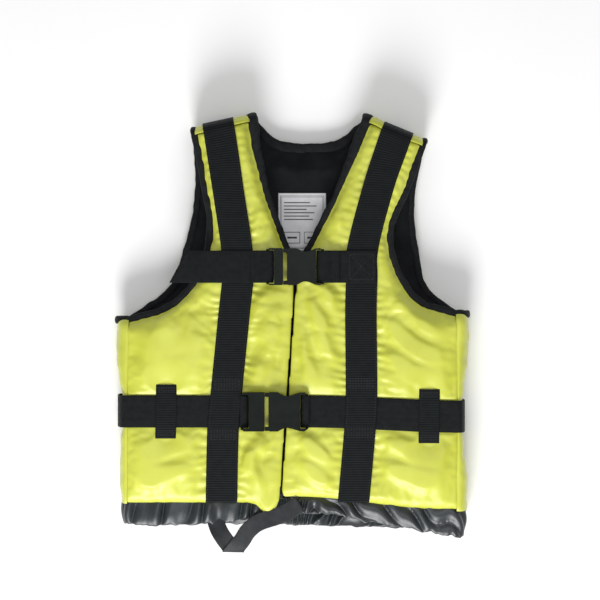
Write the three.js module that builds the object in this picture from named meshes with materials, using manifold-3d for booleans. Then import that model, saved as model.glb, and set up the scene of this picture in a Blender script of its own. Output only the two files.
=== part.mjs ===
// Foam buoyancy vest lying on its back, front up. Millimetres, +Z up, +Y toward the neck,
// +X toward the wearer's left. Two fronts, a back, side bands, shoulder bands, sewn webbing,
// two side-release buckles and a centre zip.
import * as THREE from 'three';
import { mergeVertices } from 'three/addons/utils/BufferGeometryUtils.js';
import Module from 'manifold-3d';

const wasm = await Module();
wasm.setup();

// ---- driving dimensions ----
const clearance = 0.3;
const webbingWidth = 50;
const webbingThickness = 2;
const fabric = 1.2;
const backPad = 24;
const frontPad = 30;
const torsoGap = 16;
const seamX = 253.3;
const bottomY = -269;
const sideTopY = 8;
const sideBulgeUpper = 16.4;
const sideBulgeLower = 8.4;
const sideWall = 6;
const frontGap = 10.6;
const shoulderRise = 17;
const shoulderInnerX = 94;
const shoulderOuterX = 169;
const shoulderWall = 8;
const vNeckY = 113;
const bindingWidth = 12;
const bindingHeight = 8;
const centreLean = 0.07;
const shoulderTilt = 0.05;
const shoulderPeakY = 320.3;
const shoulderSlope = 0.27;
const beltY = -130;
const chestY = 90;
const keeperWidth = 32;
const keeperLength = 83;
const keeperX = [-192, 208];
const hemDepth = 30;
const hemThickness = 6;
const tapeWidth = 28;
const tapeThickness = 1.5;
const labelSize = [76, 92];
const labelCentre = [15, 160];
const buckleHeight = 12;
const barRadius = 2;
const prongWidth = 6;
const prongReach = 38;
const chestBuckle = { mouthX: -11, y: chestY, width: 56, female: 59, male: 28.5 };
const waistBuckle = { mouthX: -39, y: beltY, width: 59, female: 63, male: 39 };
const chestStrapEnds = [-187, 128];
const zipTopY = 100;
const zipBottomY = -266;
const sliderLength = 16;
const sliderWidth = 9;
const pullLength = 24;
const pullWidth = 5;
const labelThickness = 0.4;
const zipTapeReach = 16;
const zipTapeThickness = 1.1;
const toothStand = 0.7;
const plateThickness = 1.2;
const lugThickness = 1.2;
const eyeRadius = 1.8;
const pullHalfThickness = 0.8;
const stopLength = 9;
const hemSetBack = 6;
const hemBulge = 3;
const hemSway = 4;
const hemStartGap = 8;
const hemEndGap = 26;
const cutRun = 5;
const channelInset = 0.5;
const bendSteps = 12;
const loopSteps = 8;
const hemTurnSteps = 10;
const longFoldBack = 26;
const foldSettle = 12;
const recess = { from: 8, to: 34, half: 19, depth: 0.5 };
const barSlotSpare = 8;
const pocketWall = 2.5;

// ---- levels worked out from the dimensions ----
const backBottom = webbingThickness + clearance;
const backLiningBottom = backBottom + fabric + backPad + 2 * clearance;
const backTop = backLiningBottom + fabric;
const frontBottom = backTop + torsoGap;
const frontLiningTop = frontBottom + fabric;
const frontTop = frontLiningTop + frontPad + fabric + 2 * clearance;
const grooveDepth = webbingThickness + 2 * clearance;
const midZ = (backBottom + frontTop) / 2;
const beltHalf = webbingWidth / 2;
const frontWebbingZ = frontTop + clearance + webbingThickness / 2;
const chestStrapZ = frontTop + 2 * clearance + 1.5 * webbingThickness;
const beltFrontZ = frontTop - clearance - webbingThickness / 2;
const beltBackZ = backBottom + clearance + webbingThickness / 2;
const strapLoop = barRadius + clearance + webbingThickness / 2;

// ---- colours and surfaces ----
function finish(color, roughness, metalness = 0) {
  return new THREE.MeshStandardMaterial({ color, roughness, metalness });
}
const yellow = () => finish(0xdce65a, 0.35);
const lining = () => finish(0x1b1c20, 0.8);
const foam = () => finish(0xe9e6da, 0.9);
const webbing = () => finish(0x191a1d, 0.65);
const plastic = () => finish(0x121316, 0.35);
const nylon = () => finish(0x2a2d33, 0.45);

const vest = new THREE.Group();
vest.name = 'foam_buoyancy_vest';

function addPart(name, geometry, material, parent = vest) {
  const mesh = new THREE.Mesh(geometry, material);
  mesh.name = name;
  parent.add(mesh);
  return mesh;
}

// ---- booleans ----
function toSolid(geometry) {
  const bare = geometry.clone();
  bare.deleteAttribute('normal');
  bare.deleteAttribute('uv');
  const merged = mergeVertices(bare, 1e-4);
  const triVerts = new Uint32Array(merged.index.array);
  const vertProperties = new Float32Array(merged.attributes.position.array);
  return new wasm.Manifold(new wasm.Mesh({ numProp: 3, vertProperties, triVerts }));
}

function toGeometry(solid) {
  const mesh = solid.getMesh();
  const geometry = new THREE.BufferGeometry();
  geometry.setAttribute('position', new THREE.BufferAttribute(mesh.vertProperties, 3));
  geometry.setIndex(new THREE.BufferAttribute(mesh.triVerts, 1));
  return geometry;
}

function cut(base, tools) {
  let solid = toSolid(base);
  for (const tool of tools) solid = solid.subtract(toSolid(tool));
  return toGeometry(solid);
}

function join(pieces) {
  let solid = toSolid(pieces[0]);
  for (const piece of pieces.slice(1)) solid = solid.add(toSolid(piece));
  return toGeometry(solid);
}

// ---- basic shapes ----
function block(x0, x1, y0, y1, z0, z1) {
  const box = new THREE.BoxGeometry(x1 - x0, y1 - y0, z1 - z0);
  return box.translate((x0 + x1) / 2, (y0 + y1) / 2, (z0 + z1) / 2);
}

function rod(radius, y0, y1, x, z) {
  const cylinder = new THREE.CylinderGeometry(radius, radius, y1 - y0, 12);
  return cylinder.translate(x, (y0 + y1) / 2, z);
}

function prism(outline, z0, z1) {
  const shape = new THREE.Shape(outline);
  const body = new THREE.ExtrudeGeometry(shape, { depth: z1 - z0, bevelEnabled: false });
  return body.translate(0, 0, z0);
}

// A closed body through a row of equal-length sections, capped at both ends.
function loft(sections, flat) {
  const count = sections[0].length;
  const positions = [];
  const index = [];
  for (const section of sections) {
    for (const point of section) positions.push(point.x, point.y, point.z);
  }
  for (let row = 0; row + 1 < sections.length; row += 1) {
    for (let col = 0; col < count; col += 1) {
      const a = row * count + col;
      const b = row * count + ((col + 1) % count);
      index.push(a, b, b + count, a, b + count, a + count);
    }
  }
  const last = (sections.length - 1) * count;
  for (const [a, b, c] of THREE.ShapeUtils.triangulateShape(flat, [])) {
    index.push(a, c, b, last + a, last + b, last + c);
  }
  const geometry = new THREE.BufferGeometry();
  geometry.setAttribute('position', new THREE.Float32BufferAttribute(positions, 3));
  geometry.setIndex(index);
  return outward(geometry);
}

// Turns a closed body's faces outward when its signed volume is negative.
function outward(geometry) {
  const index = geometry.index.array;
  const corner = [new THREE.Vector3(), new THREE.Vector3(), new THREE.Vector3()];
  let volume = 0;
  for (let i = 0; i < index.length; i += 3) {
    corner.forEach((point, k) => point.fromBufferAttribute(geometry.attributes.position, index[i + k]));
    volume += corner[0].dot(corner[1].clone().cross(corner[2]));
  }
  if (volume < 0) {
    for (let i = 0; i < index.length; i += 3) [index[i], index[i + 1]] = [index[i + 1], index[i]];
  }
  return geometry;
}

// A flat strip that follows stations of centre point and face normal.
function ribbon(stations, width, thickness) {
  const sections = stations.map((station, i) => {
    const before = stations[Math.max(i - 1, 0)].at;
    const after = stations[Math.min(i + 1, stations.length - 1)].at;
    const along = after.clone().sub(before).normalize();
    const across = new THREE.Vector3().crossVectors(station.across ?? along, station.normal);
    const side = (station.across ? station.across.clone() : across).normalize().multiplyScalar(width / 2);
    const up = station.normal.clone().normalize().multiplyScalar(thickness / 2);
    return [[-1, -1], [1, -1], [1, 1], [-1, 1]].map(([s, u]) => (
      station.at.clone().addScaledVector(side, s).addScaledVector(up, u)));
  });
  return loft(sections, [[-1, -1], [1, -1], [1, 1], [-1, 1]].map(([x, y]) => new THREE.Vector2(x, y)));
}

// ---- the lay of the cloth: the centre line leans and the shoulders tilt ----
function lay(x, y) {
  const upper = THREE.MathUtils.smoothstep(y, 0, 80);
  const slack = Math.max(0, 1 - Math.abs(x) / seamX);
  const weight = slack + (1 - slack) * upper;
  const tilt = shoulderTilt * x * THREE.MathUtils.smoothstep(y, vNeckY, 296);
  return new THREE.Vector2(x + centreLean * y * weight, y - tilt);
}

const smooth = (points, steps) => (
  new THREE.SplineCurve(points.map(([x, y]) => new THREE.Vector2(x, y))).getPoints(steps));

const laid = (points, side) => points.map((point) => lay(side * point.x, point.y));

// Moves an open line sideways, to its left for a positive distance.
function offset(points, distance, closed = false) {
  const count = points.length;
  return points.map((point, i) => {
    const before = points[closed ? (i + count - 1) % count : Math.max(i - 1, 0)];
    const after = points[closed ? (i + 1) % count : Math.min(i + 1, count - 1)];
    const first = point.clone().sub(before).normalize();
    const second = after.clone().sub(point).normalize();
    if (first.lengthSq() === 0) first.copy(second);
    if (second.lengthSq() === 0) second.copy(first);
    const bisector = first.clone().add(second).normalize();
    const reach = distance / Math.max(0.5, bisector.dot(first));
    return new THREE.Vector2(point.x - bisector.y * reach, point.y + bisector.x * reach);
  });
}

// ---- pattern lines of one half, before the lay ----
const shoulderY = (x) => shoulderPeakY - shoulderSlope * (x - shoulderInnerX);
const panelTopY = (x) => shoulderY(x) - shoulderRise;

const frontArmhole = smooth([
  [seamX, sideTopY], [228, 15], [198, 24], [170, 44], [152, 70], [143, 93], [136, 125],
  [136.5, 161], [149, 208], [159, 250], [shoulderOuterX, panelTopY(shoulderOuterX)],
], 26);

const frontNeck = smooth([
  [shoulderInnerX, panelTopY(shoulderInnerX)], [79, 270], [64, 232], [49, 190], [15, vNeckY],
], 14);

const backArmhole = smooth([
  [seamX, sideTopY], [222, 20], [196, 38], [181, 66], [174, 105], [166, 145], [161, 185],
  [161, 225], [165, 256], [shoulderOuterX, panelTopY(shoulderOuterX)],
], 24);

const backNeck = smooth([
  [shoulderInnerX, panelTopY(shoulderInnerX)], [80, 290], [60, 276], [36, 268], [0, 266],
], 12);

const webbingLine = smooth([
  [100, bottomY + 1], [103, -158], [101, -97], [94, 64], [97, 115], [117, 205], [135, panelTopY(135)],
], 24);

// ---- padded panels ----
function frontOutline(side) {
  const edge = frontGap / 2;
  const frontEdge = [new THREE.Vector2(edge, zipTopY), new THREE.Vector2(edge, bottomY)];
  const hemEdge = [new THREE.Vector2(seamX, bottomY)];
  const half = [...frontNeck, ...frontEdge, ...hemEdge, ...frontArmhole];
  const outline = laid(half, side);
  return side > 0 ? outline : outline.reverse();
}

function backOutline() {
  const right = [new THREE.Vector2(seamX, bottomY), ...backArmhole, ...backNeck.slice(0, -1)];
  const left = [...right].reverse();
  return [...laid(right, 1), lay(0, backNeck.at(-1).y), ...laid(left, -1)];
}

const beltChannel = (margin, z0, z1) => (
  block(-seamX - 20, seamX + 20, beltY - beltHalf - margin, beltY + beltHalf + margin, z0, z1));

function addFront(name, side) {
  const outline = frontOutline(side);
  const inner = offset(outline, fabric, true);
  const core = offset(outline, fabric + clearance, true);
  const floor = frontTop - grooveDepth;
  const outer = prism(outline, frontLiningTop + clearance, frontTop);
  const channel = beltChannel(channelInset, floor, frontTop + cutRun);
  const hollow = cut(
    prism(inner, frontLiningTop - cutRun, frontTop - fabric),
    [beltChannel(channelInset + fabric, floor - fabric, frontTop + cutRun)],
  );
  const core3d = prism(core, frontLiningTop + clearance, frontTop - fabric - clearance);
  const reliefMargin = channelInset + fabric + clearance;
  const relief = beltChannel(reliefMargin, floor - fabric - clearance, frontTop + cutRun);
  addPart(`${name}_front_cover`, cut(outer, [channel, hollow]), yellow());
  addPart(`${name}_front_foam`, cut(core3d, [relief]), foam());
  addPart(`${name}_front_lining`, prism(outline, frontBottom, frontLiningTop), lining());
}

function addBack() {
  const outline = backOutline();
  const inner = offset(outline, fabric, true);
  const core = offset(outline, fabric + clearance, true);
  const ceiling = backBottom + grooveDepth;
  const outer = prism(outline, backBottom, backLiningBottom - clearance);
  const channel = beltChannel(channelInset, backBottom - cutRun, ceiling);
  const hollow = cut(
    prism(inner, backBottom + fabric, backLiningBottom + cutRun),
    [beltChannel(channelInset + fabric, backBottom - cutRun, ceiling + fabric)],
  );
  const core3d = prism(core, backBottom + fabric + clearance, backLiningBottom - clearance);
  const reliefMargin = channelInset + fabric + clearance;
  const relief = beltChannel(reliefMargin, backBottom - cutRun, ceiling + fabric + clearance);
  addPart('back_cover', cut(outer, [channel, hollow]), yellow());
  addPart('back_foam', cut(core3d, [relief]), foam());
  addPart('back_lining', prism(outline, backLiningBottom, backTop), lining());
}

// ---- C-shaped bands that join the back to the fronts ----
const bandTurns = 12;

function bandSection(bulge, rise, wall, place) {
  const section = [];
  for (let i = 0; i <= bandTurns; i += 1) {
    const angle = -Math.PI / 2 + (Math.PI * i) / bandTurns;
    section.push([bulge * Math.cos(angle), rise * Math.sin(angle)]);
  }
  for (let i = bandTurns; i >= 0; i -= 1) {
    const angle = -Math.PI / 2 + (Math.PI * i) / bandTurns;
    section.push([(bulge - wall) * Math.cos(angle), (rise - wall) * Math.sin(angle)]);
  }
  return { flat: section.map(([u, w]) => new THREE.Vector2(u, w)), points: section.map(place) };
}

const sideRise = (frontTop - backBottom) / 2 - grooveDepth - clearance;
const sideSteps = [bottomY, -160, -100, -60, -20, sideTopY];

function sideBulge(y) {
  return sideBulgeLower + (sideBulgeUpper - sideBulgeLower) * THREE.MathUtils.smoothstep(y, -100, -20);
}

function addSide(name, side) {
  const rows = sideSteps.map((y) => bandSection(
    sideBulge(y), sideRise, sideWall,
    ([u, w]) => new THREE.Vector3(side * (seamX + clearance + u), y, midZ + w),
  ));
  addPart(`${name}_side_panel`, loft(rows.map((row) => row.points), rows[0].flat), yellow());
}

// A point of the shoulder band: u runs up past the panel tops, square to the shoulder line.
function shoulderPoint(side, x, u, z) {
  const slope = new THREE.Vector2(shoulderSlope, 1).normalize();
  const start = clearance + u;
  const flat = lay(side * (x + slope.x * start), panelTopY(x) + slope.y * start);
  return new THREE.Vector3(flat.x, flat.y, z);
}

const shoulderBulge = shoulderRise - 2 * clearance - webbingThickness;
const shoulderHalf = (frontTop - backBottom) / 2;

function addShoulder(name, side) {
  const rows = [0, 0.5, 1].map((t) => {
    const x = THREE.MathUtils.lerp(shoulderInnerX, shoulderOuterX, t);
    return bandSection(
      shoulderBulge, shoulderHalf, shoulderWall,
      ([u, w]) => shoulderPoint(side, x, u, midZ + w),
    );
  });
  addPart(`${name}_shoulder_band`, loft(rows.map((row) => row.points), rows[0].flat), yellow());
}

// ---- edge bindings ----
function addBinding(name, line, side, inside, z) {
  const near = offset(line, inside * clearance);
  const far = offset(line, inside * bindingWidth);
  const outline = laid([...near, ...far.reverse()], side);
  if (THREE.ShapeUtils.area(outline) < 0) outline.reverse();
  addPart(name, prism(outline, z - bindingHeight / 2, z + bindingHeight / 2), webbing());
}

function addBindings() {
  const frontZ = (frontBottom + frontTop) / 2;
  const backZ = (backBottom + backTop) / 2;
  const mirrored = backNeck.slice(0, -1).reverse().map((p) => new THREE.Vector2(-p.x, p.y));
  const wholeNeck = [...backNeck, ...mirrored];
  addBinding('right_neck_binding', frontNeck, -1, -1, frontZ);
  addBinding('left_neck_binding', frontNeck, 1, -1, frontZ);
  addBinding('back_neck_binding', wholeNeck, 1, -1, backZ);
  addBinding('right_armhole_binding', frontArmhole, -1, -1, frontZ);
  addBinding('left_armhole_binding', frontArmhole, 1, -1, frontZ);
  addBinding('right_back_armhole_binding', backArmhole, -1, -1, backZ);
  addBinding('left_back_armhole_binding', backArmhole, 1, -1, backZ);
}

// ---- vertical webbing: up the front, over the shoulder, down the back ----
function addVerticalWebbing(name, side) {
  const acrossAt = (p) => {
    const slant = shoulderSlope * THREE.MathUtils.smoothstep(p.y, 205, panelTopY(p.x));
    const a = lay(side * (p.x - 1), p.y + slant);
    const b = lay(side * (p.x + 1), p.y - slant);
    return new THREE.Vector3(b.x - a.x, b.y - a.y, 0);
  };
  const flatRun = (z, normal) => webbingLine.map((p) => {
    const at = lay(side * p.x, p.y);
    return { at: new THREE.Vector3(at.x, at.y, z), normal, across: acrossAt(p) };
  });
  const front = flatRun(frontWebbingZ, new THREE.Vector3(0, 0, 1));
  const back = flatRun(webbingThickness / 2, new THREE.Vector3(0, 0, -1)).reverse();
  const topX = webbingLine.at(-1).x;
  const reachOut = shoulderBulge + clearance + webbingThickness / 2;
  const reachUp = frontWebbingZ - midZ;
  const bend = [];
  for (let i = 1; i < bendSteps; i += 1) {
    const angle = Math.PI / 2 - (Math.PI * i) / bendSteps;
    const at = shoulderPoint(side, topX, reachOut * Math.cos(angle), midZ + reachUp * Math.sin(angle));
    const tip = shoulderPoint(side, topX, reachOut * Math.cos(angle) + 1, midZ);
    const foot = shoulderPoint(side, topX, reachOut * Math.cos(angle), midZ);
    const away = tip.sub(foot).normalize();
    const normal = away.multiplyScalar(Math.cos(angle) / reachOut);
    normal.z = Math.sin(angle) / reachUp;
    const a = shoulderPoint(side, topX - 1, 0, 0);
    const b = shoulderPoint(side, topX + 1, 0, 0);
    bend.push({ at, normal, across: b.sub(a) });
  }
  addPart(`${name}_webbing`, ribbon([...front, ...bend, ...back], webbingWidth, webbingThickness), webbing());
}

// ---- straps that run across ----
const acrossStrap = new THREE.Vector3(0, 1, 0);
const station = (x, y, z, nx, nz) => (
  { at: new THREE.Vector3(x, y, z), normal: new THREE.Vector3(nx, 0, nz), across: acrossStrap });

const flipped = (s) => ({ ...s, normal: s.normal.clone().negate() });

// The end of a strap folded round a buckle bar and laid back on itself.
function barLoop(barX, y, strapZ, facing, foldBack = longFoldBack) {
  const barZ = strapZ + strapLoop;
  const loop = [];
  for (let i = 0; i <= loopSteps; i += 1) {
    const angle = -Math.PI / 2 + (Math.PI * i) / loopSteps;
    const x = barX + facing * strapLoop * Math.cos(angle);
    loop.push(station(x, y, barZ + strapLoop * Math.sin(angle), facing * Math.cos(angle), Math.sin(angle)));
  }
  const rest = strapZ + webbingThickness + clearance;
  const settles = foldBack > foldSettle;
  if (settles) loop.push(station(barX - facing * foldSettle, y, rest, 0, 1));
  loop.push(station(barX - facing * foldBack, y, settles ? rest : barZ + strapLoop, 0, 1));
  return loop;
}

function buckleBars(buckle) {
  return { male: buckle.mouthX - buckle.male + barRadius, female: buckle.mouthX + buckle.female - barRadius };
}

function addChestStraps() {
  const bars = buckleBars(chestBuckle);
  const right = [station(chestStrapEnds[0], chestY, chestStrapZ, 0, -1)];
  const left = [station(chestStrapEnds[1], chestY, chestStrapZ, 0, -1)];
  const rightStrap = [...right, ...barLoop(bars.male, chestY, chestStrapZ, 1)];
  const leftStrap = [...left, ...barLoop(bars.female, chestY, chestStrapZ, -1)];
  addPart('chest_strap_right', ribbon(rightStrap, webbingWidth, webbingThickness), webbing());
  addPart('chest_strap_left', ribbon(leftStrap, webbingWidth, webbingThickness), webbing());
}

const waistBuckleBottom = frontTop + clearance;
const waistStrapZ = waistBuckleBottom + barRadius - strapLoop;
const waistFoldBack = 3.5;

// The belt round a side, in the turns of the side band under it, from one turn to another.
function sideWrap(side, from, to) {
  const bulge = sideBulgeLower + clearance + webbingThickness / 2;
  const rise = midZ - beltBackZ;
  const wrap = [];
  const way = Math.sign(to - from);
  for (let turn = from; turn !== to + way; turn += way) {
    const angle = -Math.PI / 2 + (Math.PI * turn) / bandTurns;
    const x = side * (seamX + clearance + bulge * Math.cos(angle));
    const outward = side * Math.cos(angle) / bulge;
    const upward = Math.sin(angle) / rise;
    wrap.push(station(x, beltY, midZ + rise * Math.sin(angle), outward, upward));
  }
  return wrap;
}

function addWaistBelt() {
  const bars = buckleBars(waistBuckle);
  const rightEnd = barLoop(bars.male, beltY, waistStrapZ, 1, waistFoldBack).reverse();
  const root = [
    ...rightEnd,
    station(bars.male - 9, beltY, beltFrontZ, 0, -1),
    ...sideWrap(-1, bandTurns, 0).map(flipped),
    ...sideWrap(1, 0, bandTurns - 2).map(flipped),
  ];
  const leftEnd = [
    station(seamX + 4, beltY, beltFrontZ, 0, -1),
    station(bars.female + 18, beltY, beltFrontZ, 0, -1),
    ...barLoop(bars.female, beltY, waistStrapZ, -1, waistFoldBack),
  ];
  addPart('waist_belt', ribbon(root, webbingWidth, webbingThickness), webbing());
  addPart('waist_belt_left_run', ribbon(leftEnd, webbingWidth, webbingThickness), webbing());
}

function addKeeper(name, x) {
  const z = frontWebbingZ - webbingThickness / 2;
  const half = keeperWidth / 2;
  const reach = keeperLength / 2;
  const shape = block(x - half, x + half, beltY - reach, beltY + reach, z, z + tapeThickness);
  addPart(name, shape, webbing());
}

// ---- side-release buckles ----
const prongSide = 0.6;
const prongTipInset = 7.5;
const grip = { end: 15, shoulder: 27 };

const mirrored = (lower) => [...lower].reverse().map((p) => new THREE.Vector2(p.x, -p.y));
function placed(outline, buckle) {
  return outline.map((p) => new THREE.Vector2(buckle.mouthX + p.x, buckle.y + p.y));
}

function femaleOutline(buckle) {
  const half = buckle.width / 2;
  const { female } = buckle;
  const waist = smooth([[17, -half], [27, -half + 5], [35, -half + 5], [female - 13, -half + 0.6]], 12);
  const lower = [
    new THREE.Vector2(3, -half + 2), new THREE.Vector2(5, -half), ...waist,
    new THREE.Vector2(female - 6, -half), new THREE.Vector2(female, -half + 4),
  ];
  return placed([...lower, ...mirrored(lower)], buckle);
}

function maleOutline(buckle) {
  const half = buckle.width / 2;
  const { male } = buckle;
  const lower = [[-male, -half + 3], [-male + 5, -half], [-5, -half], [-3, -half + 1]];
  const edge = lower.map(([x, y]) => new THREE.Vector2(x, y));
  return placed([...edge, ...mirrored(edge)], buckle);
}

// The space for the prongs: open at the sides by the grips, then closing in behind them.
function pocketOutline(buckle) {
  const half = buckle.width / 2;
  const step = grip.end + 4;
  const share = (step - grip.end) / (grip.shoulder - grip.end);
  const slope = prongSide + (prongTipInset - prongSide) * share - 2 * clearance;
  const lower = [
    [-1, -half - 5], [step, -half - 5], [step, -half + slope],
    [grip.shoulder + 0.5, -half + prongTipInset - clearance],
    [prongReach + 2, -half + prongTipInset - clearance],
  ].map(([x, y]) => new THREE.Vector2(x, y));
  return placed([...lower, ...mirrored(lower)], buckle);
}

function prongOutline(buckle, side) {
  const half = buckle.width / 2;
  const outer = half - prongSide;
  const root = -3 + clearance;
  const outline = [
    [root, outer - prongWidth],
    [grip.end, outer - prongWidth - 1],
    [prongReach, half - prongTipInset - prongWidth + 1],
    [prongReach, half - prongTipInset - 2], [prongReach - 3, half - prongTipInset],
    [grip.shoulder, half - prongTipInset], [grip.end, outer], [root, outer],
  ].map(([x, y]) => new THREE.Vector2(x, side * y));
  if (THREE.ShapeUtils.area(outline) < 0) outline.reverse();
  return placed(outline, buckle);
}

function addBuckle(name, buckle, bottom, strapZ) {
  const x0 = buckle.mouthX;
  const top = bottom + buckleHeight;
  const low = bottom + pocketWall;
  const high = top - pocketWall;
  const slotHalf = beltHalf + 0.6;
  const slotLength = barRadius * 2 + barSlotSpare;
  const barZ = strapZ + strapLoop;
  const bar = (x) => rod(barRadius, buckle.y - slotHalf - 1, buckle.y + slotHalf + 1, x, barZ);
  const [slotLow, slotHigh] = [buckle.y - slotHalf, buckle.y + slotHalf];
  const slot = (from, to) => block(from, to, slotLow, slotHigh, bottom - cutRun, top + cutRun);

  const femaleEnd = x0 + buckle.female;
  const [panelStart, panelEnd] = [x0 + recess.from, x0 + recess.to];
  const [panelLow, panelHigh] = [buckle.y - recess.half, buckle.y + recess.half];
  const panel = block(panelStart, panelEnd, panelLow, panelHigh, top - recess.depth, top + cutRun);
  const pocket = prism(pocketOutline(buckle), low, high);
  const shell = cut(
    prism(femaleOutline(buckle), bottom, top),
    [pocket, panel, slot(femaleEnd - slotLength, femaleEnd + cutRun)],
  );
  addPart(`${name}_buckle_female`, join([shell, bar(femaleEnd - barRadius)]), plastic());

  const maleEnd = x0 - buckle.male;
  const base = cut(prism(maleOutline(buckle), bottom, top), [slot(maleEnd - cutRun, maleEnd + slotLength)]);
  addPart(`${name}_buckle_male`, join([base, bar(maleEnd + barRadius)]), plastic());

  for (const [label, side] of [['upper', 1], ['lower', -1]]) {
    const prong = prism(prongOutline(buckle, side), low + clearance, high - clearance);
    addPart(`${name}_${label}_prong`, prong, plastic());
  }
}

// ---- centre zip, built straight along Y and turned onto the leaning centre line ----
const zip = new THREE.Group();
zip.rotation.z = -Math.atan(centreLean);
vest.add(zip);

const toothInner = 1.3;
const toothOuter = 3.2;
const tapeTop = frontBottom - clearance;
const tapeBottom = tapeTop - zipTapeThickness;
const toothBottom = tapeBottom - toothStand;
const toothTop = tapeTop + toothStand;
const sliderY = zipTopY - 12;
const pinZ = toothTop + clearance + plateThickness + eyeRadius + clearance;
const pinRadius = 0.7;

function addZipHalf(name, side) {
  const edges = [side * (toothOuter + clearance), side * zipTapeReach].sort((a, b) => a - b);
  addPart(`${name}_zip_tape`, block(...edges, zipBottomY, zipTopY, tapeBottom, tapeTop), lining(), zip);
  const teeth = [side * toothInner, side * toothOuter].sort((a, b) => a - b);
  const chain = block(...teeth, zipBottomY + stopLength + 1, zipTopY, toothBottom, toothTop);
  addPart(`${name}_zip_teeth`, chain, plastic(), zip);
}

function addZipSlider() {
  const half = sliderWidth / 2;
  const y0 = sliderY - sliderLength / 2;
  const y1 = sliderY + sliderLength / 2;
  const plateTop = toothTop + clearance;
  const plateBottom = toothBottom - clearance;
  const lug = (side) => {
    const edges = [side * (half - lugThickness), side * half].sort((a, b) => a - b);
    return block(...edges, sliderY - 2, sliderY + 2, plateTop, pinZ + 1.3);
  };
  const pin = new THREE.CylinderGeometry(pinRadius, pinRadius, sliderWidth - 1, 10);
  pin.rotateZ(Math.PI / 2).translate(0, sliderY, pinZ);
  const slider = join([
    block(-half, half, y0, y1, plateTop, plateTop + plateThickness),
    block(-half, half, y0, y1, plateBottom - plateThickness, plateBottom),
    block(-1, 1, sliderY - 3, sliderY + 3, plateBottom - 0.5, plateTop + 0.5),
    lug(-1), lug(1), pin,
  ]);
  addPart('zip_slider', slider, finish(0x55585c, 0.4, 0.8), zip);
}

function addZipPull() {
  const half = pullWidth / 2;
  const eye = new THREE.CylinderGeometry(eyeRadius, eyeRadius, pullWidth, 14).rotateZ(Math.PI / 2);
  const bore = new THREE.CylinderGeometry(pinRadius + clearance, pinRadius + clearance, pullWidth + 2, 14);
  bore.rotateZ(Math.PI / 2);
  const tab = block(-half, half, -pullLength, -1.2, -pullHalfThickness, pullHalfThickness);
  const pull = cut(join([eye, tab]), [bore]);
  addPart('zip_pull', pull.translate(0, sliderY, pinZ), finish(0x4a4d51, 0.4, 0.8), zip);
}

function addZipStop() {
  const [stopLow, stopHigh] = [toothBottom - 1, toothTop + 1];
  const stop = block(-toothOuter, toothOuter, zipBottomY, zipBottomY + stopLength, stopLow, stopHigh);
  addPart('zip_bottom_stop', stop, plastic(), zip);
}

// ---- hem casing with its flat draw tape ----
const hemInset = hemThickness / 2;

// Depth of the hem's middle below the panels: it hangs lower toward the wearer's left.
function hemDropAt(x) {
  const sway = hemSway * THREE.MathUtils.smoothstep(x, 60, 240);
  return bottomY - clearance - hemDepth / 2 - sway;
}

function addHem() {
  const zFront = midZ + sideRise - hemInset - hemSetBack;
  const zBack = 2 * midZ - zFront;
  const path = [];
  const put = (x, z, nx, nz) => path.push({
    at: new THREE.Vector3(x, hemDropAt(x), z), normal: new THREE.Vector3(nx, 0, nz), across: acrossStrap,
  });
  const centre = centreLean * bottomY;
  const corner = seamX - 2 * hemBulge;
  const bulge = sideBulgeLower + hemBulge;
  for (const t of [0, 0.5, 1]) put(THREE.MathUtils.lerp(centre - hemStartGap, -corner, t), zFront, 0, 1);
  for (let i = 1; i < hemTurnSteps; i += 1) {
    const angle = Math.PI / 2 - (Math.PI * i) / hemTurnSteps;
    const height = midZ + (zFront - midZ) * Math.sin(angle);
    put(-corner - bulge * Math.cos(angle), height, -Math.cos(angle), Math.sin(angle));
  }
  for (let i = 0; i <= 6; i += 1) put(THREE.MathUtils.lerp(-corner, corner, i / 6), zBack, 0, -1);
  for (let i = 1; i < hemTurnSteps; i += 1) {
    const angle = -Math.PI / 2 + (Math.PI * i) / hemTurnSteps;
    const height = midZ + (zFront - midZ) * Math.sin(angle);
    put(corner + bulge * Math.cos(angle), height, Math.cos(angle), Math.sin(angle));
  }
  for (let i = 0; i <= 4; i += 1) put(THREE.MathUtils.lerp(corner, centre + hemEndGap, i / 4), zFront, 0, 1);
  addPart('hem_casing', ribbon(path, hemDepth, hemThickness), nylon());
}

function addHemTape() {
  const z = midZ + sideRise - hemSetBack + clearance + tapeThickness / 2;
  const layer = tapeThickness + clearance;
  const half = tapeWidth / 2;
  const strip = (x0, y0, x1, y1, level) => {
    const along = new THREE.Vector2(x1 - x0, y1 - y0);
    const flat = block(0, along.length(), -half, half, -tapeThickness / 2, tapeThickness / 2);
    return flat.rotateZ(along.angle()).translate(x0, y0, z + level * layer);
  };
  const fold = (x, y, level) => block(x - 4, x + 4, y - 4, y + 4,
    z + (level - 1) * layer, z + level * layer);
  const centre = centreLean * bottomY;
  const route = [[-103, -21], [-77, -73], [-43, -41], [25, -3]];
  const [start, lowFold, highFold, end] = route.map(([x, y]) => [centre + x, bottomY + y]);
  const tape = join([
    strip(...start, ...lowFold, 0),
    strip(lowFold[0] - 2, lowFold[1] + 6, ...highFold, 1),
    strip(highFold[0] - 8, highFold[1] - 8, ...end, 2),
    fold(lowFold[0] + 4, lowFold[1] + 8, 1),
    fold(highFold[0] - 6, highFold[1] - 5, 2),
  ]);
  const panels = block(-200, 200, bottomY - clearance, bottomY + 60, 0, 2 * frontTop);
  addPart('hem_tape', cut(tape, [panels]), webbing());
}

function addLabel() {
  const [cx, cy] = labelCentre;
  const [w, h] = labelSize;
  const z = backTop + clearance;
  const sheet = block(cx - w / 2, cx + w / 2, cy - h / 2, cy + h / 2, z, z + labelThickness);
  addPart('size_label', sheet, finish(0xe8e8ea, 0.6));
}

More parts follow.
